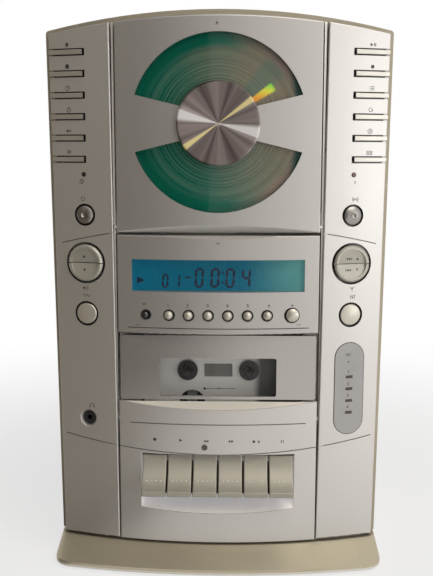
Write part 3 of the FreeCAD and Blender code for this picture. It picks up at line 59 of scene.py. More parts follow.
# Studio: a white floor and white surround, soft lamps at the right and overhead, and
# brown cards at the left, on the floor and above, which only the metal mirrors.
class Wire:
    """A shader socket that takes part in sums, and the maker of every other node."""

    def __init__(self, tree, socket=None):
        self.tree = tree
        self.socket = socket

    def node(self, kind, settings, sockets, output=0):
        made = self.tree.nodes.new(kind)
        for key, value in settings.items():
            if key == "stops":
                ramp = made.color_ramp
                while len(ramp.elements) < len(value):
                    ramp.elements.new(0.5)
                for stop, (place, colour) in zip(ramp.elements, value):
                    stop.position = place
                    stop.color = (*colour, 1.0)
            else:
                setattr(made, key, value)
        for key, value in sockets.items():
            if isinstance(value, Wire):
                self.tree.links.new(value.socket, made.inputs[key])
            else:
                made.inputs[key].default_value = value
        return Wire(self.tree, made.outputs[output])

    def math(self, operation, first, second=0.0):
        return self.node("ShaderNodeMath", {"operation": operation}, {0: first, 1: second})

    def __add__(self, other):
        return self.math("ADD", self, other)

    def __radd__(self, other):
        return self.math("ADD", other, self)

    def __sub__(self, other):
        return self.math("SUBTRACT", self, other)

    def __rsub__(self, other):
        return self.math("SUBTRACT", other, self)

    def __mul__(self, other):
        return self.math("MULTIPLY", self, other)

    def __rmul__(self, other):
        return self.math("MULTIPLY", other, self)

    def __truediv__(self, other):
        return self.math("DIVIDE", self, other)

    def step(self, low, high):
        """A smooth step from 0 at low to 1 at high."""
        return self.node("ShaderNodeMapRange", {"interpolation_type": "SMOOTHSTEP"},
                         {"Value": self, "From Min": low, "From Max": high})

    def mix(self, first, second):
        """Colour first where this is 0, second where it is 1."""
        return self.node("ShaderNodeMix", {"data_type": "RGBA"},
                         {0: self, 6: first, 7: second}, 2)

    def most(self, other):
        return self.math("MAXIMUM", self, other)

    def place(self):
        return self.node("ShaderNodeTexCoord", {}, {}, "Object")

    def axes(self):
        """The three coordinates of a point of the object, in metres."""
        split = self.node("ShaderNodeSeparateXYZ", {}, {"Vector": self.place()})
        outs = split.socket.node.outputs
        return [Wire(self.tree, outs[i]) for i in range(3)]

    def noise(self, scale, detail=2.0):
        """Soft noise from 0 to 1, with scale as grains to the metre."""
        return self.node("ShaderNodeTexNoise", {}, {"Vector": self.place(), "Scale": scale,
                                                    "Detail": detail}, "Fac")

    def streaks(self, along, detail):
        """Noise from 0 to 1 that changes along one measure only."""
        return self.node("ShaderNodeTexNoise", {"noise_dimensions": "1D"},
                         {"W": along, "Detail": detail}, "Fac")

    def bump(self, height, depth, strength=1.0):
        return self.node("ShaderNodeBump", {}, {"Height": height, "Distance": depth,
                                                "Strength": strength})


def solid(colour):
    return (*colour, 1.0)


world = bpy.data.worlds.new("surround")
scene.world = world
world.use_nodes = True
world.node_tree.nodes.clear()
air = Wire(world.node_tree)


def seen_in(wire):
    """1 for what the eye or a pane shows, then 1 for what a mirror shows."""
    direct = wire.node("ShaderNodeLightPath", {}, {}, "Is Camera Ray")
    outs = direct.socket.node.outputs
    mirrored = Wire(wire.tree, outs["Is Glossy Ray"])
    through = Wire(wire.tree, outs["Is Transmission Ray"])
    return direct.most(through), mirrored


ambient, mirrored_white = 0.15, 0.90
direct, mirrored = seen_in(air)
glow = air.node("ShaderNodeBackground", {}, {
    "Color": mirrored.mix(solid((1, 1, 1)), solid((1.0, 0.955, 0.920))),
    "Strength": direct * (1 - ambient) + mirrored * (mirrored_white - ambient) + ambient})
world_out = world.node_tree.nodes.new("ShaderNodeOutputWorld")
world.node_tree.links.new(glow.socket, world_out.inputs["Surface"])


def sheet_object(name, corners):
    mesh = bpy.data.meshes.new(name)
    mesh.from_pydata(corners, [], [tuple(range(len(corners)))])
    made = bpy.data.objects.new(name, mesh)
    scene.collection.objects.link(made)
    return made


floor_half = 4
floor = sheet_object("floor", [(-floor_half, -floor_half, 0), (floor_half, -floor_half, 0),
                               (floor_half, floor_half, 0), (-floor_half, floor_half, 0)])
floor_paint = bpy.data.materials.new("floor_paint")
floor_paint.use_nodes = True
floor_paint.node_tree.nodes.clear()
ground = Wire(floor_paint.node_tree)
floor_x, floor_y = ground.axes()[:2]
reach = ground.math("SQRT", floor_x * floor_x + floor_y * floor_y)
lit = ground.node("ShaderNodeBsdfDiffuse", {}, {"Color": solid((0.86, 0.86, 0.86))})
direct, mirrored = seen_in(ground)
white = ground.node("ShaderNodeEmission", {}, {
    "Color": mirrored.mix(solid((1, 1, 1)), solid((1.28, 1.23, 1.18)))})
shown = direct * (0.70 + 0.30 * reach.step(0.15, 0.75))
reflected = mirrored * (0.56 + 0.44 * reach.step(0.15, 0.42))
blend = ground.node("ShaderNodeMixShader", {}, {0: shown.most(reflected), 1: lit, 2: white})
floor_out = floor_paint.node_tree.nodes.new("ShaderNodeOutputMaterial")
floor_paint.node_tree.links.new(blend.socket, floor_out.inputs["Surface"])
floor.data.materials.append(floor_paint)

card_left, card_right, card_height = (-1.9, 0.3), (-0.10, -1.52), 1.15
card = sheet_object("dark_card", [(*card_left, 0.0), (*card_right, 0.0),
                                  (*card_right, card_height), (*card_left, card_height)])
foot_height, roof_height = 0.002, 1.2
foot = sheet_object("dark_card_foot", [
    (x, y, foot_height) for x, y in [
        card_left, (-0.16, -0.03), (-0.075, -0.12), (-0.065, -0.165), (-0.14, -0.26),
        (-0.15, -0.36), (-0.01, -0.45), (-0.03, -1.00), card_right]])
roof = sheet_object("dark_card_roof", [
    (x, y, roof_height) for x, y in [(-1.4, -0.5), (-0.04, -0.5), (-0.04, 0.7), (-1.4, 0.7)]])
card_paint = bpy.data.materials.new("card_paint")
card_paint.use_nodes = True
card_paint.node_tree.nodes.clear()
board = Wire(card_paint.node_tree)
board_x, board_y, board_z = board.axes()
flat = 1 - board_z.step(0.001, 0.010)
beside = flat * board_y.step(-0.50, -0.40) * (1 - board_x.step(-0.20, -0.11))
paler = beside.most(1 - board_x.step(-0.78, -0.52))
brown = paler.mix(solid((0.100, 0.074, 0.047)), solid((0.640, 0.525, 0.400)))
dull = board.node("ShaderNodeBsdfDiffuse", {}, {"Color": brown})
card_out = card_paint.node_tree.nodes.new("ShaderNodeOutputMaterial")
card_paint.node_tree.links.new(dull.socket, card_out.inputs["Surface"])
for dark in (card, foot, roof):
    dark.data.materials.append(card_paint)
    dark.visible_camera = False
    dark.visible_shadow = False
    dark.visible_diffuse = False


def softbox(name, place, aim, width, height, power, colour):
    lamp = bpy.data.lights.new(name, "AREA")
    lamp.shape = "RECTANGLE"
    lamp.size = width
    lamp.size_y = height
    lamp.energy = power
    lamp.color = colour
    made = bpy.data.objects.new(name, lamp)
    made.location = place
    made.rotation_euler = (Vector(aim) - Vector(place)).to_track_quat("-Z", "Y").to_euler()
    scene.collection.objects.link(made)


softbox("window_light", (1.55, -1.45, 0.26), (0, 0, 0.18), 0.45, 0.50, 4.6, (0.97, 0.985, 1.0))
softbox("wall_light", (1.45, -0.95, 0.50), (0, 0, 0.20), 1.5, 1.0, 3.6, (0.98, 0.985, 1.0))
softbox("ceiling_light", (0.60, -0.95, 1.5), (0, 0, 0.2), 1.2, 0.9, 13.0, (1.0, 0.94, 0.84))


# Feet: four turned rubber pads pressed into bosses under the stand, dull black
# with a fine grain from the mould.
def finish(name, recipe):
    """A new material, whose recipe gives the sockets of its shader."""
    made = bpy.data.materials.new(name)
    made.use_nodes = True
    tree = made.node_tree
    tree.nodes.clear()
    shader = Wire(tree).node("ShaderNodeBsdfPrincipled", {}, recipe(Wire(tree)))
    out = tree.nodes.new("ShaderNodeOutputMaterial")
    tree.links.new(shader.socket, out.inputs["Surface"])
    return made


def dress(material, *names):
    for name in names:
        slots = node[name].data.materials
        slots.clear()
        slots.append(material)


def rubber(w):
    grain = w.noise(2200.0)
    wear = w.noise(60.0, 4.0)
    return {"Base Color": wear.mix(solid((0.018, 0.018, 0.018)), solid((0.035, 0.034, 0.033))),
            "Roughness": 0.72 + 0.2 * grain, "Normal": w.bump(grain, 0.00008)}


dress(finish("foot_rubber", rubber), "rubber_feet")


# Stand and cabinet: moulded plastic sprayed with a champagne metallic lacquer,
# with a fine flake, faint orange peel and small specks of dust. The neck of the
# stand, under the body, is painted near black as painted shade, and its lower
# edge is painted pale as a painted highlight.
def champagne(w, dark=(0.355, 0.322, 0.242), light=(0.475, 0.435, 0.335)):
    flake = w.noise(3200.0, 1.0)
    cloud = w.noise(14.0, 3.0)
    peel = w.noise(420.0, 2.0)
    speck = w.noise(260.0, 0.0).step(0.77, 0.82)
    tone = (flake * 0.55 + cloud * 0.45).mix(solid(dark), solid(light))
    return {"Base Color": (speck * 0.18).mix(tone, solid((0.72, 0.70, 0.64))), "Metallic": 0.62,
            "Roughness": 0.36 + 0.14 * flake,
            "Normal": w.bump(peel * 0.6 + flake * 0.4, 0.00003, 0.6)}


def with_painted_shade(sockets, shaded):
    """These sockets, painted near black and not metallic as painted shade where the mask is 1."""
    sockets["Metallic"] = (1 - shaded) * sockets["Metallic"]
    sockets["Base Color"] = shaded.mix(sockets["Base Color"], solid((0.010, 0.010, 0.010)))
    return sockets


def edged_champagne(w):
    z = w.axes()[2]
    # The neck under the body is painted near black as painted shade.
    painted_neck_shade = z.step(0.0161, 0.0164)
    sockets = with_painted_shade(champagne(w, (0.450, 0.405, 0.305), (0.600, 0.545, 0.420)), painted_neck_shade)
    # A pale, less metallic band along the lower edge of the stand is a painted highlight.
    edge = 1 - z.step(0.0036, 0.0042)
    sockets["Base Color"] = edge.mix(sockets["Base Color"], solid((0.92, 0.885, 0.810)))
    sockets["Metallic"] = sockets["Metallic"] * (1 - edge)
    return sockets


dress(finish("champagne_lacquer", champagne), "rear_cabinet")
dress(finish("edged_champagne", edged_champagne), "base_stand")


# Front mouldings: wings, doors, panels and the chassis cheeks are plastic sprayed
# silver with a fine metallic flake, the wings and key panel in a paler mix. The
# walls of holes and scored lines are painted near black as painted shade.
def spray(w, dark, light):
    """Sockets of a metallic spray whose flake runs between two tones."""
    flake = w.noise(2600.0, 1.0)
    fine = w.noise(6200.0, 0.0)
    cloud = w.noise(9.0, 3.0)
    peel = w.noise(380.0, 2.0)
    grain = flake * 0.55 + fine * 0.45
    return {"Base Color": (grain * 0.6 + cloud * 0.4).mix(solid(dark), solid(light)),
            "Metallic": 0.65, "Roughness": 0.36 + 0.16 * grain,
            "Normal": w.bump(peel * 0.5 + grain * 0.5, 0.00003, 0.7)}


bow_radius, bow_front = 0.335, -0.077


def below_front(w):
    """How far a point lies behind the bowed front, in metres."""
    x, y = w.axes()[:2]
    return y + w.math("SQRT", bow_radius ** 2 - x * x) - (bow_front + bow_radius)


def recess_shade(w):
    """1 on the walls of holes, and part of that on the floor of a scored line, for painted shade.
    """
    depth = below_front(w)
    return depth.step(0.0002, 0.0005) * 0.65 + depth.step(0.0008, 0.0012) * 0.35


def silver(w):
    return spray(w, (0.385, 0.375, 0.358), (0.525, 0.513, 0.493))


def smooth_silver(w):
    sockets = spray(w, (0.345, 0.335, 0.318), (0.465, 0.453, 0.433))
    sockets["Roughness"] = 0.20 + 0.10 * w.noise(2600.0, 1.0)
    return sockets


def silver_door(w):
    z = w.axes()[2]
    sockets = silver(w)
    low = 1 - z.step(0.2440, 0.2445)
    # Along the crease at the foot of the door is a near-white painted highlight, with a paler
    # painted sheen on the bevel below it. Both are less metallic.
    depth = below_front(w)
    painted_crease_highlight = depth.step(0.00005, 0.00012) * (1 - depth.step(0.0004, 0.0007)) * low
    painted_bevel_sheen = depth.step(0.0004, 0.0007) * low
    sockets["Base Color"] = painted_bevel_sheen.mix(sockets["Base Color"], solid((0.800, 0.785, 0.760)))
    sockets["Base Color"] = painted_crease_highlight.mix(sockets["Base Color"], solid((0.960, 0.950, 0.930)))
    sockets["Metallic"] = sockets["Metallic"] * (1 - 0.6 * painted_bevel_sheen - 0.8 * painted_crease_highlight)
    return sockets


def silver_panel(w):
    below_display = 1 - w.axes()[2].step(0.1896, 0.1898)
    return with_painted_shade(silver(w), recess_shade(w) * below_display)


def pale_silver(w):
    return spray(w, (0.495, 0.484, 0.464), (0.660, 0.647, 0.624))


# A near-white copy of the silver for the chassis, a painted highlight on the cheeks that show in
# the gaps.
def highlight_silver(w):
    return spray(w, (0.780, 0.760, 0.722), (0.930, 0.912, 0.880))


def pale_wing(w):
    x = w.axes()[0]
    out = w.math("ABSOLUTE", x)
    face = out.step(0.0725, 0.0727) * (1 - out.step(0.1085, 0.1090))
    return with_painted_shade(pale_silver(w), recess_shade(w) * face)


def pale_panel(w):
    x, z = w.axes()[::2]
    face = z.step(0.0804, 0.0805) * (1 - z.step(0.1035, 0.1036))
    sockets = with_painted_shade(pale_silver(w), recess_shade(w) * face)
    # The scoop under the piano keys is painted pale and not metallic, as painted light, with a glow
    # that is brighter and warmer at its front lip. The ledge above the keys is painted cream as a
    # painted highlight.
    inside = below_front(w).step(0.0001, 0.0004) * (1 - z.step(0.0803, 0.0804))
    painted_scoop_light = inside * (1 - w.math("ABSOLUTE", x).step(0.0526, 0.0528)) * z.step(0.0375, 0.0378)
    painted_ledge_highlight = below_front(w).step(0.0003, 0.0010) * z.step(0.1040, 0.1046)
    sockets["Base Color"] = painted_scoop_light.mix(sockets["Base Color"], solid((0.930, 0.912, 0.935)))
    sockets["Base Color"] = painted_ledge_highlight.mix(sockets["Base Color"], solid((0.840, 0.795, 0.715)))
    sockets["Metallic"] = sockets["Metallic"] * (1 - painted_scoop_light.most(painted_ledge_highlight * 0.5))
    painted_lip_highlight = 1 - below_front(w).step(0.0015, 0.0060)
    glow = painted_lip_highlight.mix(solid((0.86, 0.83, 0.86)), solid((1.00, 0.93, 0.82)))
    sockets["Emission Color"] = painted_scoop_light.mix(solid((0, 0, 0)), glow)
    sockets["Emission Strength"] = 0.20
    return sockets


dress(finish("smooth_silver", smooth_silver), "cassette_door")
dress(finish("silver_door", silver_door), "cd_door")
dress(finish("silver_panel", silver_panel), "display_panel")
dress(finish("highlight_lacquer", highlight_silver), "front_chassis")
dress(finish("pale_wing", pale_wing), "left_wing", "right_wing")
dress(finish("pale_panel", pale_panel), "key_panel")


# Slim keys and push buttons: moulded caps in a slightly warmer, smoother silver,
# each held behind the wing by its flange, painted dark as painted shade where it
# sinks into the hole; two caps are turned from alloy.
def cap_silver(w, dark, light):
    """Sockets of a smooth silver cap whose flake runs between two tones."""
    flake = w.noise(3800.0, 1.0)
    touch = w.noise(95.0, 3.0)
    return {"Base Color": (flake * 0.6 + touch * 0.4).mix(solid(dark), solid(light)),
            "Metallic": 0.45, "Roughness": 0.28 + 0.2 * touch,
            "Normal": w.bump(flake, 0.00002, 0.5)}


def button_silver(w):
    painted_hole_shade = below_front(w).step(0.0001, 0.0004)
    return with_painted_shade(cap_silver(w, (0.500, 0.472, 0.405), (0.660, 0.635, 0.565)), painted_hole_shade)


def slim_silver(w):
    sockets = cap_silver(w, (0.440, 0.420, 0.372), (0.580, 0.560, 0.510))
    sockets["Metallic"] = 0.6
    painted_hole_shade = below_front(w).step(0.0001, 0.0004)
    return with_painted_shade(sockets, painted_hole_shade)


def rocker_silver(w):
    sockets = cap_silver(w, (0.400, 0.382, 0.330), (0.520, 0.500, 0.440))
    sockets["Metallic"] = 0.25
    painted_hole_shade = below_front(w).step(0.0006, 0.0011)
    return with_painted_shade(sockets, painted_hole_shade)


def turned_alloy(w):
    ring = w.noise(900.0, 2.0)
    sockets = {"Base Color": ring.mix(solid((0.255, 0.248, 0.235)), solid((0.330, 0.322, 0.306))),
               "Metallic": 0.9, "Roughness": 0.26 + 0.12 * ring}
    painted_hole_shade = below_front(w).step(0.0006, 0.0010)
    return with_painted_shade(sockets, painted_hole_shade)


left_keys = ("snooze_key", "sleep_key", "clock_key", "timer_key", "mute_key", "backlight_key")
right_keys = ("disc_play_key", "disc_stop_key", "program_key", "repeat_key",
              "disc_source_key", "tape_source_key")
presets = ["preset_button_%d" % n for n in range(1, 7)]
dress(finish("slim_lacquer", slim_silver), *left_keys, *right_keys)
dress(finish("button_lacquer", button_silver), "band_button", "equalizer_button",
      "memory_button", *presets)
dress(finish("rocker_lacquer", rocker_silver), "volume_rocker", "tuning_rocker")
dress(finish("turned_alloy", turned_alloy), "power_button", "surround_button")


# Lamps and remote sensor: small moulded lenses, unlit and nearly black, the lamp
# on the right wing a deep red, pushed into holes from behind.
def lens(w):
    x, z = w.axes()[::2]
    red = x.step(0.070, 0.071) * z.step(0.255, 0.256)
    bars = x.step(0.070, 0.071) * (1 - z.step(0.20, 0.21))
    record = 1 - z.step(0.098, 0.099)
    tone = red.mix(solid((0.012, 0.011, 0.011)), solid((0.085, 0.012, 0.012)))
    tone = record.mix(tone, solid((0.040, 0.018, 0.016)))
    return {"Base Color": bars.mix(tone, solid((0.028, 0.016, 0.014))),
            "Roughness": 0.10 + 0.15 * w.noise(900.0), "Coat Weight": 0.5}


dress(finish("lamp_lens", lens), "indicator_leds")


# Equalizer window: a smooth grey acrylic pane with a rounded rim, clipped flush
# into the right wing behind its four lamp bars, with a dark line painted all round
# its rim as painted shade of the gap.
pane_x, pane_z, pane_straight = 0.0892, 0.1244, 0.0215
pane_turn = math.radians(15.44)


def grey_pane(w):
    x, z = w.axes()[::2]
    dust = w.noise(1500.0, 1.0)
    haze = w.noise(70.0, 3.0)
    side = (x - pane_x) / math.cos(pane_turn)
    end = (w.math("ABSOLUTE", z - pane_z) - pane_straight).most(0.0)
    # A dark line painted round the rim of the pane is painted shade of the gap.
    edge = w.math("SQRT", side * side + end * end).step(0.01015, 0.01040)
    tone = haze.mix(solid((0.360, 0.354, 0.353)), solid((0.435, 0.427, 0.425)))
    return {"Base Color": edge.mix(tone, solid((0.045, 0.044, 0.043))),
            "Metallic": 0.15, "Roughness": 0.12 + 0.10 * haze, "Coat Weight": 0.6,
            "Normal": w.bump(dust, 0.00001, 0.3)}


dress(finish("grey_acrylic", grey_pane), "equalizer_window")


# Headphone socket, turntable and reel spindles: black mouldings with a slight gloss,
# the socket pushed into a dish of the left wing, the others on their steel shafts.
def black_moulding(w):
    grain = w.noise(1800.0, 2.0)
    scuff = w.noise(130.0, 4.0)
    return {"Base Color": scuff.mix(solid((0.012, 0.012, 0.013)), solid((0.030, 0.030, 0.031))),
            "Roughness": 0.30 + 0.25 * grain, "Normal": w.bump(grain, 0.00003, 0.6)}


black_plastic = finish("black_plastic", black_moulding)
dress(black_plastic, "headphone_jack", "turntable", "supply_spindle", "take_up_spindle")


# Disc: a polycarbonate disc with a mirror layer and fine concentric tracks. Its
# colour holds painted reflections: a green side and a warm side, pale rings, a soft
# fan of light, shade and reflections at the rim, and one short glint of spectral
# colour that glows.
disc_x, disc_z = 0.0, 0.302


def polar(w):
    """Places sideways and up from the middle, distance from it and turn about it."""
    x, z = w.axes()[::2]
    side = x - disc_x
    rise = z - disc_z
    radius = w.math("SQRT", side * side + rise * rise)
    return side, rise, radius, w.math("ARCTAN2", rise, side)


def disc_face(w):
    side, rise, radius, angle = polar(w)
    track = w.streaks(radius * 180.0, 2.0)
    band = w.streaks(radius * 60.0, 1.0)
    painted_fan = w.streaks(angle * 0.4, 0.0)
    # The green side and the warm side, the pale sheen of the rings and the soft fan are painted
    # reflections.
    painted_warm_reflection = (side + rise * 0.3).step(-0.036, 0.055)
    tone = painted_warm_reflection.mix(solid((0.020, 0.260, 0.175)), solid((0.820, 0.450, 0.355)))
    painted_sheen = painted_warm_reflection.mix(solid((0.30, 0.56, 0.42)), solid((1.00, 0.66, 0.45)))
    tone = ((track * 0.55 + band * 0.45).step(0.44, 0.60) * 0.80).mix(tone, painted_sheen)
    tone = (painted_fan.step(0.50, 0.72) * 0.45).mix(tone, solid((0.14, 0.38, 0.30)))
    # At the rim are painted shade and painted reflections: green at the left, then a warm band and
    # a dark band at the right.
    rim = radius.step(0.0475, 0.0525)
    painted_rim_reflection = radius.step(0.0515, 0.0545)
    tone = (rim * (1 - side.step(0.002, 0.024))).mix(tone, solid((0.000, 0.260, 0.165)))
    tone = (painted_rim_reflection * side.step(0.020, 0.035)).mix(tone, solid((1.000, 0.540, 0.490)))
    tone = (painted_rim_reflection * side.step(0.045, 0.052)).mix(tone, solid((0.055, 0.050, 0.062)))
    # A short painted glint of spectral colour, which also glows.
    spoke = angle.step(0.50, 0.56) * (1 - angle.step(0.64, 0.68))
    painted_glint = spoke * (1 - radius.step(0.0420, 0.0442))
    spectrum = [(0.0, (1.0, 0.16, 0.02)), (0.35, (1.0, 0.42, 0.02)),
                (0.65, (0.95, 0.85, 0.04)), (1.0, (0.10, 0.85, 0.06))]
    hue = w.node("ShaderNodeValToRGB", {"stops": spectrum},
                 {"Fac": (radius - 0.027) * 45.0 + (angle - 0.5) * 1.6})
    tone = painted_glint.mix(tone, hue)
    return {"Base Color": tone, "Metallic": 0.60, "Roughness": 0.22 + 0.18 * track,
            "Emission Color": painted_glint.mix(solid((0, 0, 0)), hue), "Emission Strength": 0.85,
            "Normal": w.bump(track * 0.6 + band * 0.4, 0.00006, 0.5)}


dress(finish("disc_tracks", disc_face), "compact_disc")


# Drive parts: the rod that the keys turn on is drawn steel, lightly oiled, the head
# bridge is pressed and blackened, the pickup and the flywheel are black mouldings.
def bright_steel(w):
    scratch = w.noise(700.0, 4.0)
    return {"Base Color": scratch.mix(solid((0.42, 0.41, 0.40)), solid((0.60, 0.59, 0.57))),
            "Metallic": 1.0, "Roughness": 0.24 + 0.2 * scratch,
            "Normal": w.bump(scratch, 0.00002, 0.5)}


def black_steel(w):
    scratch = w.noise(1500.0, 3.0)
    return {"Base Color": scratch.mix(solid((0.030, 0.030, 0.032)), solid((0.085, 0.083, 0.080))),
            "Metallic": 0.85, "Roughness": 0.30 + 0.25 * scratch,
            "Normal": w.bump(scratch, 0.00002, 0.5)}


steel = finish("bright_steel", bright_steel)
blackened = finish("black_steel", black_steel)
dress(steel, "key_pivot_rod")
dress(blackened, "head_bridge")
dress(black_plastic, "optical_pickup", "capstan_flywheel")


# Disc window: one moulding of green tinted acrylic behind both openings of the
# disc door, held by its lap on the door's inner face.
def green_pane(w):
    haze = w.noise(40.0, 3.0)
    dust = w.noise(1300.0, 2.0).step(0.66, 0.80)
    tone = haze.mix(solid((0.000, 0.125, 0.080)), solid((0.002, 0.155, 0.102)))
    return {"Base Color": (dust * 0.15).mix(tone, solid((0.3, 0.33, 0.30))),
            "Roughness": 0.06 + 0.1 * dust, "Alpha": 0.24 + 0.06 * haze, "Coat Weight": 0.2}


dress(finish("green_acrylic", green_pane), "cd_door_window")


# Hub cap: a spun aluminium disc pressed onto the door, its turned face with fine
# concentric tool marks. Rays of sheen and radial fans of light, white and gold, are
# painted on it as painted reflections.
def spun_metal(w):
    radius, angle = polar(w)[2:]
    half_turn = w.math("MODULO", angle + 2 * math.pi, math.pi)
    marks = w.streaks(radius * 5200.0, 1.0)
    ray = w.streaks(half_turn * 0.55, 1.0)
    fine = w.streaks(half_turn * 7.0, 1.0)
    # Soft rays of painted sheen, and white and gold fans of painted reflection, made less metallic.
    painted_sheen = (ray * 0.88 + fine * 0.12).step(0.25, 0.75)
    tone = painted_sheen.mix(solid((0.090, 0.071, 0.069)), solid((0.350, 0.302, 0.292)))
    wide = half_turn.step(2.55, 2.75) * (1 - half_turn.step(2.95, 3.14))
    painted_white_reflection = half_turn.step(2.77, 2.81) * (1 - half_turn.step(2.98, 3.14))
    painted_gold_reflection = half_turn.step(0.52, 0.56) * (1 - half_turn.step(0.66, 0.71))
    tone = (wide * 0.35).mix(tone, solid((0.70, 0.65, 0.64)))
    tone = painted_white_reflection.mix(tone, solid((0.90, 0.87, 0.88)))
    tone = (painted_gold_reflection * 0.95).mix(tone, solid((0.95, 0.80, 0.36)))
    return {"Base Color": (marks * 0.12).mix(tone, solid((0.09, 0.08, 0.075))),
            "Metallic": 0.92 - 0.75 * painted_white_reflection - 0.70 * painted_gold_reflection,
            "Roughness": 0.24 + 0.14 * marks, "Normal": w.bump(marks, 0.00002, 0.5)}


dress(finish("spun_aluminium", spun_metal), "hub_cap")


# Liquid crystal display: a teal backlit cell, clipped behind the panel, its right
# part lighter and glowing more with a painted reflection.
def teal_cell(w):
    # A painted reflection lightens the right part of the cell.
    lamp = w.axes()[0].step(0.012, 0.058)
    mottle = w.noise(45.0, 3.0)
    tone = (mottle * 0.5).mix(solid((0.0005, 0.110, 0.185)), solid((0.004, 0.085, 0.130)))
    tone = (lamp * (0.5 + 0.5 * mottle)).mix(tone, solid((0.105, 0.300, 0.275)))
    return {"Base Color": tone, "Roughness": 0.22 + 0.1 * mottle, "Emission Color": tone,
            "Emission Strength": 0.42, "Specular IOR Level": 0.2}


dress(finish("teal_display", teal_cell), "lcd_display")


# Cassette window: a clear acrylic pane, lightly smoked, fixed behind the door.
def clear_pane(w):
    haze = w.noise(60.0, 3.0)
    return {"Base Color": haze.mix(solid((0.05, 0.05, 0.05)), solid((0.09, 0.088, 0.085))),
            "Roughness": 0.05 + 0.06 * haze, "Alpha": 0.06 + 0.05 * haze, "Coat Weight": 0.3}


dress(finish("clear_acrylic", clear_pane), "cassette_window")


# Deck plate: pressed steel painted light grey with a satin finish. Its openings are
# painted dark as painted shade, and its right part, past the take-up spindle, as a
# painted shadow.
def deck_grey(w):
    x, y = w.axes()[:2]
    painted_shadow = x.step(0.0235, 0.0300)
    painted_opening_shade = y.step(-0.0527, -0.0524)
    grain = w.noise(1700.0, 2.0)
    cloud = w.noise(25.0, 3.0)
    tone = cloud.mix(solid((0.900, 0.882, 0.862)), solid((0.960, 0.945, 0.925)))
    tone = painted_shadow.mix(tone, solid((0.115, 0.110, 0.104)))
    return {"Base Color": painted_opening_shade.mix(tone, solid((0.015, 0.015, 0.018))),
            "Metallic": 0.35, "Roughness": 0.40 + 0.15 * grain,
            "Normal": w.bump(grain, 0.00003, 0.5)}


dress(finish("deck_grey", deck_grey), "tape_deck_plate")


# Piano keys: six levers moulded in champagne plastic with a soft satin sheen.
def key_champagne(w):
    flake = w.noise(3400.0, 1.0)
    touch = w.noise(80.0, 3.0)
    tone = flake * 0.5 + touch * 0.5
    return {"Base Color": tone.mix(solid((0.340, 0.323, 0.270)), solid((0.425, 0.406, 0.347))),
            "Metallic": 0.35, "Roughness": 0.34 + 0.16 * touch,
            "Normal": w.bump(flake, 0.00002, 0.6)}


piano_keys = ("record_key", "play_key", "rewind_key", "fast_forward_key", "stop_eject_key",
              "pause_key")
dress(finish("key_champagne", key_champagne), *piano_keys)


# Rear socket plate, circuit board and transformer: a black moulded plate screwed to
# the cabinet, and behind it a board of green glass fibre and a steel-cored transformer.
def board_green(w):
    weave = w.noise(900.0, 2.0)
    return {"Base Color": weave.mix(solid((0.012, 0.075, 0.030)), solid((0.020, 0.110, 0.045))),
            "Roughness": 0.35 + 0.2 * weave}


dress(black_plastic, "rear_jack_panel")
dress(finish("board_green", board_green), "main_circuit_board")
dress(steel, "power_transformer")


# Printed signs: dark grey ink, screen printed on the lacquer. Each is a plain sign
# for what its key does, laid as a thin film that follows the bow of the front.
def skin_of(*names):
    """The faces of these pieces, to lay a film or set a small piece on."""
    corners, faces = [], []
    for name in names:
        mesh = node[name].data
        first = len(corners)
        corners += [v.co.copy() for v in mesh.vertices]
        faces += [[first + i for i in face.vertices] for face in mesh.polygons]
    return BVHTree.FromPolygons(corners, faces)


outside = 0.3


def front_hit(skin, x, z):
    """Where a line at x, z, in millimetres, meets the front, and the way out there."""
    place, out = skin.ray_cast(Vector((x / 1000, -outside, z / 1000)), Vector((0, 1, 0)))[:2]
    return place, (out if out.y < 0 else -out)


def own_piece(name, corners, faces, material, body):
    mesh = bpy.data.meshes.new(name)
    mesh.from_pydata(corners, [], faces)
    mesh.materials.append(material)
    made = bpy.data.objects.new(name, mesh)
    scene.collection.objects.link(made)
    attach(made, body)
    return made


def film(name, shapes, skin, material, body, lift=0.03):
    corners, faces = [], []
    for shape in shapes:
        first = len(corners)
        for x, z in shape:
            place, out = front_hit(skin, x, z)
            corners.append(place + out * lift / 1000)
        faces.append(list(range(first, len(corners))))
    return own_piece(name, corners, faces, material, body)


def bar(x, z, wide, high):
    return [(x - wide / 2, z - high / 2), (x + wide / 2, z - high / 2),
            (x + wide / 2, z + high / 2), (x - wide / 2, z + high / 2)]


def round_of(x, z, radius, start=0, end=360, count=16):
    """Points round a centre, the last left off where it would meet the first."""
    whole = end - start == 360
    steps = [start + (end - start) * i / (count if whole else count - 1) for i in range(count)]
    return [(x + radius * math.cos(math.radians(a)), z + radius * math.sin(math.radians(a)))
            for a in steps]


def wedge(x, z, size, turn):
    return round_of(x, z, size, turn, turn + 360, 3)


def stroke(points, wide):
    """A line of ink through these points, as one short bar for each run."""
    runs = []
    for (x0, z0), (x1, z1) in zip(points, points[1:]):
        run = math.hypot(x1 - x0, z1 - z0)
        along = ((x1 - x0) / run * wide / 5, (z1 - z0) / run * wide / 5)
        side = (-(z1 - z0) / run * wide / 2, (x1 - x0) / run * wide / 2)
        runs.append([(x0 - along[0] - side[0], z0 - along[1] - side[1]),
                     (x1 + along[0] - side[0], z1 + along[1] - side[1]),
                     (x1 + along[0] + side[0], z1 + along[1] + side[1]),
                     (x0 - along[0] + side[0], z0 - along[1] + side[1])])
    return runs


def arc(x, z, radius, start, end, wide):
    return stroke(round_of(x, z, radius, start, end - 0.01, 17), wide)


def outline(points, x, z, size=1.0):
    return [(x + a * size, z + b * size) for a, b in points]


def bell(x, z):
    dome = [(-1.2, -0.8), (1.2, -0.8), (0.85, -0.2), (0.75, 0.5), (0.35, 1.1), (-0.35, 1.1),
            (-0.75, 0.5), (-0.85, -0.2)]
    return [outline(dome, x, z), round_of(x, z - 1.25, 0.38)]


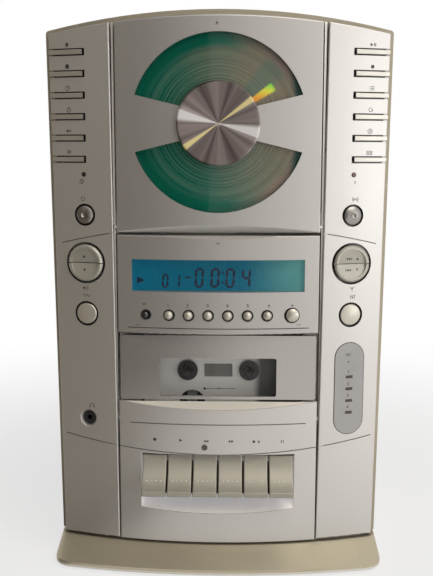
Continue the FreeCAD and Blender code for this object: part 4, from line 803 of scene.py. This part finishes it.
def moon(x, z):
    return [round_of(x, z, 1.35, 55, 305, 18) + round_of(x + 0.75, z, 1.15, 285, 75, 16)]


def clock(x, z):
    return arc(x, z, 1.3, 0, 360, 0.32) + stroke([(x, z + 0.85), (x, z), (x + 0.6, z)], 0.3)


def timer(x, z):
    return (arc(x, z - 0.2, 1.15, 0, 360, 0.32) + [bar(x, z + 1.4, 1.0, 0.34)]
            + stroke([(x, z - 0.2), (x + 0.55, z + 0.4)], 0.3))


horn = [(-1.5, -0.45), (-0.9, -0.45), (-0.1, -1.15), (-0.1, 1.15), (-0.9, 0.45), (-1.5, 0.45)]


def mute(x, z):
    return ([outline(horn, x, z)] + stroke([(x + 0.4, z - 0.6), (x + 1.5, z + 0.6)], 0.32)
            + stroke([(x + 0.4, z + 0.6), (x + 1.5, z - 0.6)], 0.32))


def sun(x, z):
    rays = [[round_of(x, z, reach, a, a + 1, 2)[0] for reach in (0.95, 1.5)]
            for a in range(0, 360, 45)]
    return [round_of(x, z, 0.62)] + [run for ray in rays for run in stroke(ray, 0.3)]


def power(x, z):
    return arc(x, z, 1.15, 125, 415, 0.34) + [bar(x, z + 0.85, 0.34, 1.3)]


def standby(x, z):
    return arc(x, z, 1.15, 0, 360, 0.34) + [bar(x, z, 0.34, 1.1)]


def play_pause(x, z):
    return [wedge(x - 1.0, z, 1.1, 0), bar(x + 0.75, z, 0.45, 1.9), bar(x + 1.6, z, 0.45, 1.9)]


def stop(x, z):
    return [bar(x, z, 1.9, 1.9)]


def program(x, z):
    rows = (0.9, 0, -0.9)
    return ([bar(x + 0.45, z + a, 2.0, 0.36) for a in rows]
            + [bar(x - 1.15, z + a, 0.45, 0.4) for a in rows])


def repeat(x, z):
    return arc(x, z, 1.1, 60, 350, 0.34) + [wedge(x + 1.1, z + 0.05, 0.7, 80)]


def disc(x, z):
    return arc(x, z, 1.35, 0, 360, 0.34) + arc(x, z, 0.42, 0, 360, 0.3)


def tape(x, z):
    case = outline([(-1.6, -1.0), (1.6, -1.0), (1.6, 1.0), (-1.6, 1.0), (-1.6, -1.0)], x, z)
    return (stroke(case, 0.32) + arc(x - 0.7, z, 0.42, 0, 360, 0.28)
            + arc(x + 0.7, z, 0.42, 0, 360, 0.28))


def surround(x, z):
    ears = [arc(x, z, r, a - 45, a + 45, 0.32) for r in (1.0, 1.7) for a in (0, 180)]
    return [round_of(x, z, 0.4)] + [run for ear in ears for run in ear]


def speaker(x, z):
    return ([outline(horn, x - 0.4, z)] + arc(x - 0.5, z, 1.1, -45, 45, 0.3)
            + arc(x - 0.5, z, 1.8, -45, 45, 0.3))


def wave(x, z):
    crest = [(x - 2.0 + 0.25 * i, z + 0.75 * math.sin(0.25 * i * math.pi)) for i in range(17)]
    return stroke(crest, 0.32)


def aerial(x, z):
    arms = [(x - 1.2, z + 1.2), (x, z), (x + 1.2, z + 1.2)]
    return [bar(x, z - 0.2, 0.34, 2.4)] + stroke(arms, 0.32)


def sliders(x, z):
    knobs = ((-1.1, 0.4), (0, -0.4), (1.1, 0.6))
    return ([bar(x + a, z, 0.3, 2.2) for a, b in knobs]
            + [bar(x + a, z + b, 0.85, 0.55) for a, b in knobs])


def headphones(x, z):
    cups = [bar(x + a, z - 0.75, 0.7, 1.1) for a in (-1.3, 1.3)]
    return arc(x, z - 0.3, 1.35, 0, 180, 0.34) + cups


def eject(x, z):
    return [wedge(x, z + 0.15, 0.95, 90), bar(x, z - 0.85, 1.6, 0.4)]


strokes_of = {
    1: [(-0.35, 0.55), (0.1, 1.0), (0.1, -1.0)],
    2: [(-0.55, 0.6), (-0.2, 1.0), (0.3, 1.0), (0.6, 0.6), (0.5, 0.1), (-0.6, -1.0), (0.65, -1.0)],
    3: [(-0.55, 0.7), (-0.15, 1.0), (0.35, 0.95), (0.55, 0.5), (0.1, 0.1), (0.6, -0.35),
        (0.4, -0.9), (-0.15, -1.0), (-0.6, -0.7)],
    4: [(0.7, -0.4), (-0.65, -0.4), (0.3, 1.0), (0.3, -1.0)],
    5: [(0.55, 1.0), (-0.4, 1.0), (-0.5, 0.15), (0.1, 0.3), (0.6, -0.1), (0.5, -0.75), (0.0, -1.0),
        (-0.6, -0.75)],
    6: [(0.4, 1.0), (-0.3, 0.45), (-0.6, -0.3), (-0.3, -0.9), (0.2, -1.0), (0.6, -0.55), (0.4, 0.0),
        (-0.1, 0.1), (-0.5, -0.25)]}


def number(n, x, z, size=1.0):
    return stroke(outline(strokes_of[n], x, z, size), 0.36 * size)


def ink(w):
    grain = w.noise(2400.0, 1.0)
    return {"Base Color": grain.mix(solid((0.030, 0.029, 0.031)), solid((0.060, 0.058, 0.060))),
            "Roughness": 0.45 + 0.2 * grain}


def gather(*signs):
    return [shape for sign in signs for shape in sign]


growth = 1.12


def larger(*signs):
    """These signs, each grown about its middle to read at arm's length."""
    grown = []
    for sign in signs:
        points = [point for shape in sign for point in shape]
        mid_x = (min(x for x, z in points) + max(x for x, z in points)) / 2
        mid_z = (min(z for x, z in points) + max(z for x, z in points)) / 2
        grown += [[(mid_x + (x - mid_x) * growth, mid_z + (z - mid_z) * growth) for x, z in shape]
                  for shape in sign]
    return grown


grey_ink = finish("grey_ink", ink)
film("left_wing_signs", larger(
    bell(-99.2, 352.9), moon(-99.3, 339.0), clock(-99.35, 325.1), timer(-98.85, 311.2),
    mute(-99.2, 297.5), sun(-99.3, 283.7), standby(-90.9, 264.4), power(-90.3, 253.0),
    speaker(-89.4, 192.9), wave(-89.0, 187.9), headphones(-86.7, 111.4)),
    skin_of("left_wing"), grey_ink, "player")
film("right_wing_signs", larger(
    play_pause(100.0, 352.8), stop(100.1, 338.9), program(100.0, 325.1), repeat(99.5, 311.3),
    disc(99.5, 297.5), tape(99.4, 283.4), [bar(90.1, 264.2, 0.36, 1.9)], surround(90.6, 253.0),
    aerial(89.8, 193.0), sliders(90.3, 187.7)),
    skin_of("right_wing"), grey_ink, "player")
film("equalizer_signs", gather(
    sliders(88.3, 148.0), [round_of(88.45, 143.1, 0.55)],
    *(number(n, 88.6, z, 0.9) for n, z in enumerate((136.1, 127.8, 119.6, 111.7), 1))),
    skin_of("equalizer_window"), grey_ink, "player")
film("disc_door_sign", eject(-1.0, 364.7), skin_of("cd_door"), grey_ink,
     "disc_lid")
film("display_signs", gather(
    *(number(n, x, 183.2) for n, x in enumerate((-33.25, -20.2, -6.9, 6.3, 19.7, 33.9), 1)),
    [bar(49.3, 183.0, 2.0, 0.36), bar(49.3, 183.0, 0.36, 2.0)],
    arc(-49.2, 182.4, 0.9, 40, 140, 0.32), arc(-49.2, 182.4, 1.7, 40, 140, 0.32),
    [wedge(-54.8, 169.3, 0.6, 180), wedge(-53.2, 169.3, 0.6, 0)],
    [wedge(53.0, 169.8, 0.6, 180), wedge(54.6, 169.8, 0.6, 0)],
    arc(0.0, 223.4, 0.9, 40, 140, 0.32), arc(0.0, 223.4, 1.7, 40, 140, 0.32)),
    skin_of("display_panel"), grey_ink, "player")
film("tape_signs", gather(
    [round_of(-42.85, 90.3, 1.15)], [wedge(-25.35, 90.3, 1.35, 0)],
    [wedge(-8.5, 90.1, 1.15, 180), wedge(-6.8, 90.1, 1.15, 180)],
    [wedge(8.1, 90.1, 1.15, 0), wedge(9.8, 90.1, 1.15, 0)],
    [bar(24.5, 89.8, 1.7, 1.7)], eject(27.9, 89.8),
    [bar(43.2, 89.45, 0.5, 2.0), bar(44.5, 89.45, 0.5, 2.0)]),
    skin_of("key_panel"), grey_ink, "player")
film("volume_signs", [wedge(-90.3, 214.2, 1.25, 90), wedge(-90.0, 205.4, 1.2, 270)],
     skin_of("volume_rocker"), grey_ink, "volume_rocker_cap")
film("tuning_signs", [
    wedge(86.2, 213.4, 1.05, 0), wedge(87.8, 213.4, 1.05, 0), bar(89.1, 213.4, 0.4, 1.8),
    wedge(93.1, 213.2, 1.2, 90), bar(85.3, 205.9, 0.4, 1.8), wedge(86.6, 205.9, 1.05, 180),
    wedge(88.2, 205.9, 1.05, 180), wedge(93.0, 206.3, 1.0, 270)],
    skin_of("tuning_rocker"), grey_ink, "tuning_rocker_cap")


# Segments of the display: liquid crystal electrodes that show navy on the teal
# cell, as a play sign, a track number and a time.
def navy(w):
    grain = w.noise(1900.0, 1.0)
    return {"Base Color": grain.mix(solid((0.0012, 0.010, 0.040)), solid((0.0020, 0.014, 0.055))),
            "Roughness": 0.30 + 0.1 * grain}


lit_bars = {0: "abcdef", 1: "bc", 4: "bcfg"}
slant = 0.05


def digit(n, left, right, low, high, wide):
    """The lit bars of a seven-bar figure that fills this box, leaning a little."""
    mid = (low + high) / 2
    half = wide / 2
    cut = wide * 0.55
    tip = cut * 0.2
    ends = {"a": ((left, high), (right, high)), "d": ((left, low), (right, low)),
            "g": ((left, mid), (right, mid)),
            "f": ((left, mid), (left, high)), "e": ((left, low), (left, mid)),
            "b": ((right, mid), (right, high)), "c": ((right, low), (right, mid))}
    bars = []
    for key in lit_bars[n]:
        (x0, z0), (x1, z1) = ends[key]
        if z0 == z1:
            bars.append([(x0 + cut, z0 - half), (x1 - cut, z0 - half), (x1 - tip, z0),
                         (x1 - cut, z0 + half), (x0 + cut, z0 + half), (x0 + tip, z0)])
        else:
            bars.append([(x0, z0 + tip), (x0 + half, z0 + cut), (x0 + half, z1 - cut),
                         (x0, z1 - tip), (x0 - half, z1 - cut), (x0 - half, z0 + cut)])
    return [[(x + (z - mid) * slant, z) for x, z in one] for one in bars]


track_box, time_box = (194.6, 202.9, 1.3), (194.9, 206.5, 1.7)
film("display_segments", gather(
    [[(-54.3, 196.7), (-48.9, 199.1), (-54.3, 201.5)]], digit(0, -36.9, -33.8, *track_box),
    digit(1, -29.0, -26.0, *track_box), [bar(-20.1, 200.9, 4.1, 1.2)],
    digit(0, -14.8, -10.4, *time_box), digit(0, -4.3, 0.1, *time_box),
    [bar(2.95, 204.0, 1.3, 1.5), bar(2.95, 197.6, 1.3, 1.5)],
    digit(0, 5.7, 10.3, *time_box), digit(4, 16.5, 20.9, *time_box)),
    skin_of("lcd_display"), finish("navy_crystal", navy), "player", lift=0.05)


# Display lens: a thin clear acrylic pane bent to the bow of the front and glued
# into the opening of the panel, a little below its face.
def lens_pane(w):
    haze = w.noise(55.0, 3.0)
    return {"Base Color": haze.mix(solid((0.02, 0.05, 0.055)), solid((0.05, 0.08, 0.08))),
            "Roughness": 0.04 + 0.05 * haze, "Alpha": 0.03 + 0.03 * haze, "Specular IOR Level": 0.2}


def smooth(made):
    for polygon in made.data.polygons:
        polygon.use_smooth = True


lens_columns, lens_rows = 24, 4
lens_half, lens_low, lens_rise, lens_inset = 0.0574, 0.1921, 0.0213, 0.0012
lens_corners, lens_faces = [], []
for row in range(lens_rows + 1):
    for column in range(lens_columns + 1):
        lens_x = lens_half * (2 * column / lens_columns - 1)
        lens_y = bow_front + bow_radius - math.sqrt(bow_radius ** 2 - lens_x ** 2) + lens_inset
        lens_corners.append((lens_x, lens_y, lens_low + lens_rise * row / lens_rows))
for row in range(lens_rows):
    for column in range(lens_columns):
        a = row * (lens_columns + 1) + column
        lens_faces.append((a, a + 1, a + lens_columns + 2, a + lens_columns + 1))
lens_sheet = own_piece("display_lens", lens_corners, lens_faces, finish("clear_lens", lens_pane),
                       "player")
smooth(lens_sheet)
thick = lens_sheet.modifiers.new("thickness", "SOLIDIFY")
thick.thickness = 0.0008
thick.offset = -1.0


# Finger dots: four low domes of pale plastic in a row, set into the middle of each
# piano key for the finger to feel.
def domes(places, radius, rise, rings=4, count=12):
    """Low domes on these places, each a point and the way out from it."""
    corners, faces = [], []
    for place, out in places:
        side = Vector((1, 0, 0)) - out * out.x
        side.normalize()
        other = out.cross(side)
        first = len(corners)
        for ring in range(rings):
            lean = math.pi / 2 * ring / rings
            reach = radius * math.cos(lean)
            for i in range(count):
                turn = 2 * math.pi * i / count
                corners.append(place + side * reach * math.cos(turn)
                               + other * reach * math.sin(turn) + out * rise * math.sin(lean))
        corners.append(place + out * rise)
        for ring in range(rings - 1):
            for i in range(count):
                a, b = first + ring * count + i, first + ring * count + (i + 1) % count
                faces.append((a, b, b + count, a + count))
        top = first + (rings - 1) * count
        faces += [(top + i, top + (i + 1) % count, len(corners) - 1) for i in range(count)]
    return corners, faces


def pale_dot(w):
    grain = w.noise(3400.0, 1.0)
    return {"Base Color": grain.mix(solid((0.800, 0.775, 0.690)), solid((0.900, 0.880, 0.800))),
            "Roughness": 0.30 + 0.12 * grain}


key_pitch, dot_pitch, dot_height = 17.25, 3.07, 63.3
dot_radius, dot_rise = 0.00055, 0.00035
dot_plastic = finish("pale_dot", pale_dot)
for index, key in enumerate(piano_keys):
    key_skin = skin_of(key)
    key_x = (index - 2.5) * key_pitch
    places = [front_hit(key_skin, key_x + (i - 1.5) * dot_pitch, dot_height) for i in range(4)]
    corners, faces = domes(places, dot_radius, dot_rise)
    smooth(own_piece(key + "_dots", corners, faces, dot_plastic, key + "_lever"))


# Sight plate of the tape deck: a small plate of brown smoked plastic set in the
# middle of the deck, where the tape in a cassette is seen, with a printed guide line.
def smoked(w):
    fade = w.axes()[0].step(-0.010, 0.010)
    cloud = w.noise(120.0, 2.0)
    tone = fade * 0.8 + cloud * 0.2
    return {"Base Color": tone.mix(solid((0.330, 0.300, 0.280)), solid((0.150, 0.134, 0.124))),
            "Roughness": 0.16 + 0.12 * cloud, "Coat Weight": 0.3}


def rounded(left, right, low, high, radius, count=5):
    """The outline of a plate with round corners, anticlockwise from the front."""
    return (round_of(right - radius, low + radius, radius, 270, 360 - 0.01, count)
            + round_of(right - radius, high - radius, radius, 0, 90, count)
            + round_of(left + radius, high - radius, radius, 90, 180, count)
            + round_of(left + radius, low + radius, radius, 180, 270, count))


def plate(loops):
    """Corners and faces through loops of equal count, each an outline and its depth."""
    corners = [(x / 1000, y / 1000, z / 1000) for loop, y in loops for x, z in loop]
    count = len(loops[0][0])
    faces = [tuple(range((len(loops) - 1) * count, len(loops) * count))]
    for a in range(len(loops) - 1):
        for i in range(count):
            j = (i + 1) % count
            faces.append((a * count + i, a * count + j, (a + 1) * count + j, (a + 1) * count + i))
    return corners, faces


deck_floor = -53.7
sight_edge = rounded(-9.7, 9.7, 129.5, 138.6, 0.8)
sight_face = rounded(-9.45, 9.45, 129.75, 138.35, 0.6)
corners, faces = plate([(sight_edge, deck_floor + 0.1), (sight_edge, deck_floor - 0.25),
                        (sight_face, deck_floor - 0.45)])
own_piece("sight_plate", corners, faces, finish("smoked_plate", smoked), "player")
guide_z, guide_left, guide_right = 120.9, -9.6, 11.0
film("deck_guide_line", gather(
    stroke([(guide_left, guide_z), (guide_right, guide_z)], 0.35),
    [round_of(guide_left, guide_z, 0.9), round_of(0.7, guide_z, 0.55),
     round_of(guide_right, guide_z, 0.35)]),
    skin_of("tape_deck_plate"), grey_ink, "player")


# Screws of the back: pan-head steel screws with a cross recess, blackened, that
# hold the cabinet to the chassis and the socket plate to the cabinet.
def screw_head(radius, rise, count=24):
    """Corners and faces of a pan head that faces +Y, with a cross sunk in it."""
    profile = [(radius, 0.0), (radius, rise * 0.35), (radius * 0.93, rise * 0.68),
               (radius * 0.76, rise * 0.9), (radius * 0.62, rise * 0.97)]
    corners = [(r * math.cos(2 * math.pi * i / count), y, r * math.sin(2 * math.pi * i / count))
               for r, y in profile for i in range(count)]
    faces = []
    for a in range(len(profile) - 1):
        for i in range(count):
            j = (i + 1) % count
            faces.append((a * count + i, (a + 1) * count + i, (a + 1) * count + j, a * count + j))
    rim = (len(profile) - 1) * count
    arm, slit = radius * 0.50, radius * 0.13
    cross = [(arm, -slit), (arm, slit), (slit, slit), (slit, arm), (-slit, arm), (-slit, slit),
             (-arm, slit), (-arm, -slit), (-slit, -slit), (-slit, -arm), (slit, -arm),
             (slit, -slit)]
    points = len(cross)
    top = len(corners)
    corners += [(x, rise, z) for x, z in cross]
    sunk = len(corners)
    corners += [(x * 0.8, rise * 0.45, z * 0.8) for x, z in cross]

    def apart(i, k):
        (x, y, z), (cross_x, cross_z) = corners[rim + i], cross[k]
        return (x - cross_x) ** 2 + (z - cross_z) ** 2

    nearest = [min(range(points), key=lambda k: apart(i, k)) for i in range(count)]
    for i in range(count):
        j = (i + 1) % count
        k = nearest[i]
        while k != nearest[j]:
            faces.append((rim + i, top + k, top + (k + 1) % points))
            k = (k + 1) % points
        faces.append((rim + i, top + k, rim + j))
    for k in range(points):
        n = (k + 1) % points
        faces.append((top + k, sunk + k, sunk + n, top + n))
    faces.append(tuple(range(sunk, sunk + points)))
    return corners, faces


first_turn, next_turn = 0.7, 1.3


def set_screws(name, places, skin, radius, rise):
    """Screw heads on the back at these places, each left at a turn of its own."""
    corners, faces = [], []
    for index, (x, z) in enumerate(places):
        start = Vector((x / 1000, outside, z / 1000))
        place, out = skin.ray_cast(start, Vector((0, -1, 0)))[:2]
        turn = Matrix.Rotation(first_turn + next_turn * index, 4, "Y")
        out = out if out.y > 0 else -out
        lean = Vector((0, 1, 0)).rotation_difference(out).to_matrix().to_4x4()
        head, sides = screw_head(radius, rise)
        first = len(corners)
        corners += [Matrix.Translation(place) @ lean @ turn @ Vector(c) for c in head]
        faces += [tuple(first + i for i in side) for side in sides]
    own_piece(name, corners, faces, blackened, "player")


set_screws("cabinet_screws", [(-78, 52), (78, 52), (-78, 205), (78, 205), (-55, 345), (55, 345)],
           skin_of("rear_cabinet"), radius=0.0031, rise=0.0016)
set_screws("socket_plate_screws", [(-58.5, 80), (58.5, 80), (-58.5, 52), (58.5, 52)],
           skin_of("rear_jack_panel"), radius=0.0022, rise=0.0012)


# Sockets of the back: a plated steel collar on each moulded barrel, and two round
# pins set in the floor of the mains inlet.
def turned(places, profile, count=20):
    """Corners and faces turned about Y from a closed profile of radius and depth."""
    corners, faces = [], []
    for x, z in places:
        first = len(corners)
        for radius, y in profile:
            corners += [(px / 1000, y / 1000, pz / 1000)
                        for px, pz in round_of(x, z, radius, count=count)]
        for row in range(len(profile)):
            near, far = first + row * count, first + (row + 1) % len(profile) * count
            faces += [(near + i, far + i, far + (i + 1) % count, near + (i + 1) % count)
                      for i in range(count)]
    return corners, faces


barrel_collar = [(4.1, 88.1), (4.45, 88.1), (4.45, 94.1), (4.25, 94.3), (4.1, 94.3)]
round_pin = [(0.05, 74.9), (1.0, 74.9), (1.0, 82.8), (0.6, 83.6), (0.05, 83.6)]
socket_z = 66
corners, faces = turned([(10, socket_z), (28, socket_z), (-22, socket_z)], barrel_collar)
own_piece("socket_collars", corners, faces, steel, "player")
corners, faces = turned([(-49.3, socket_z), (-42.7, socket_z)], round_pin)
own_piece("inlet_pins", corners, faces, steel, "player")
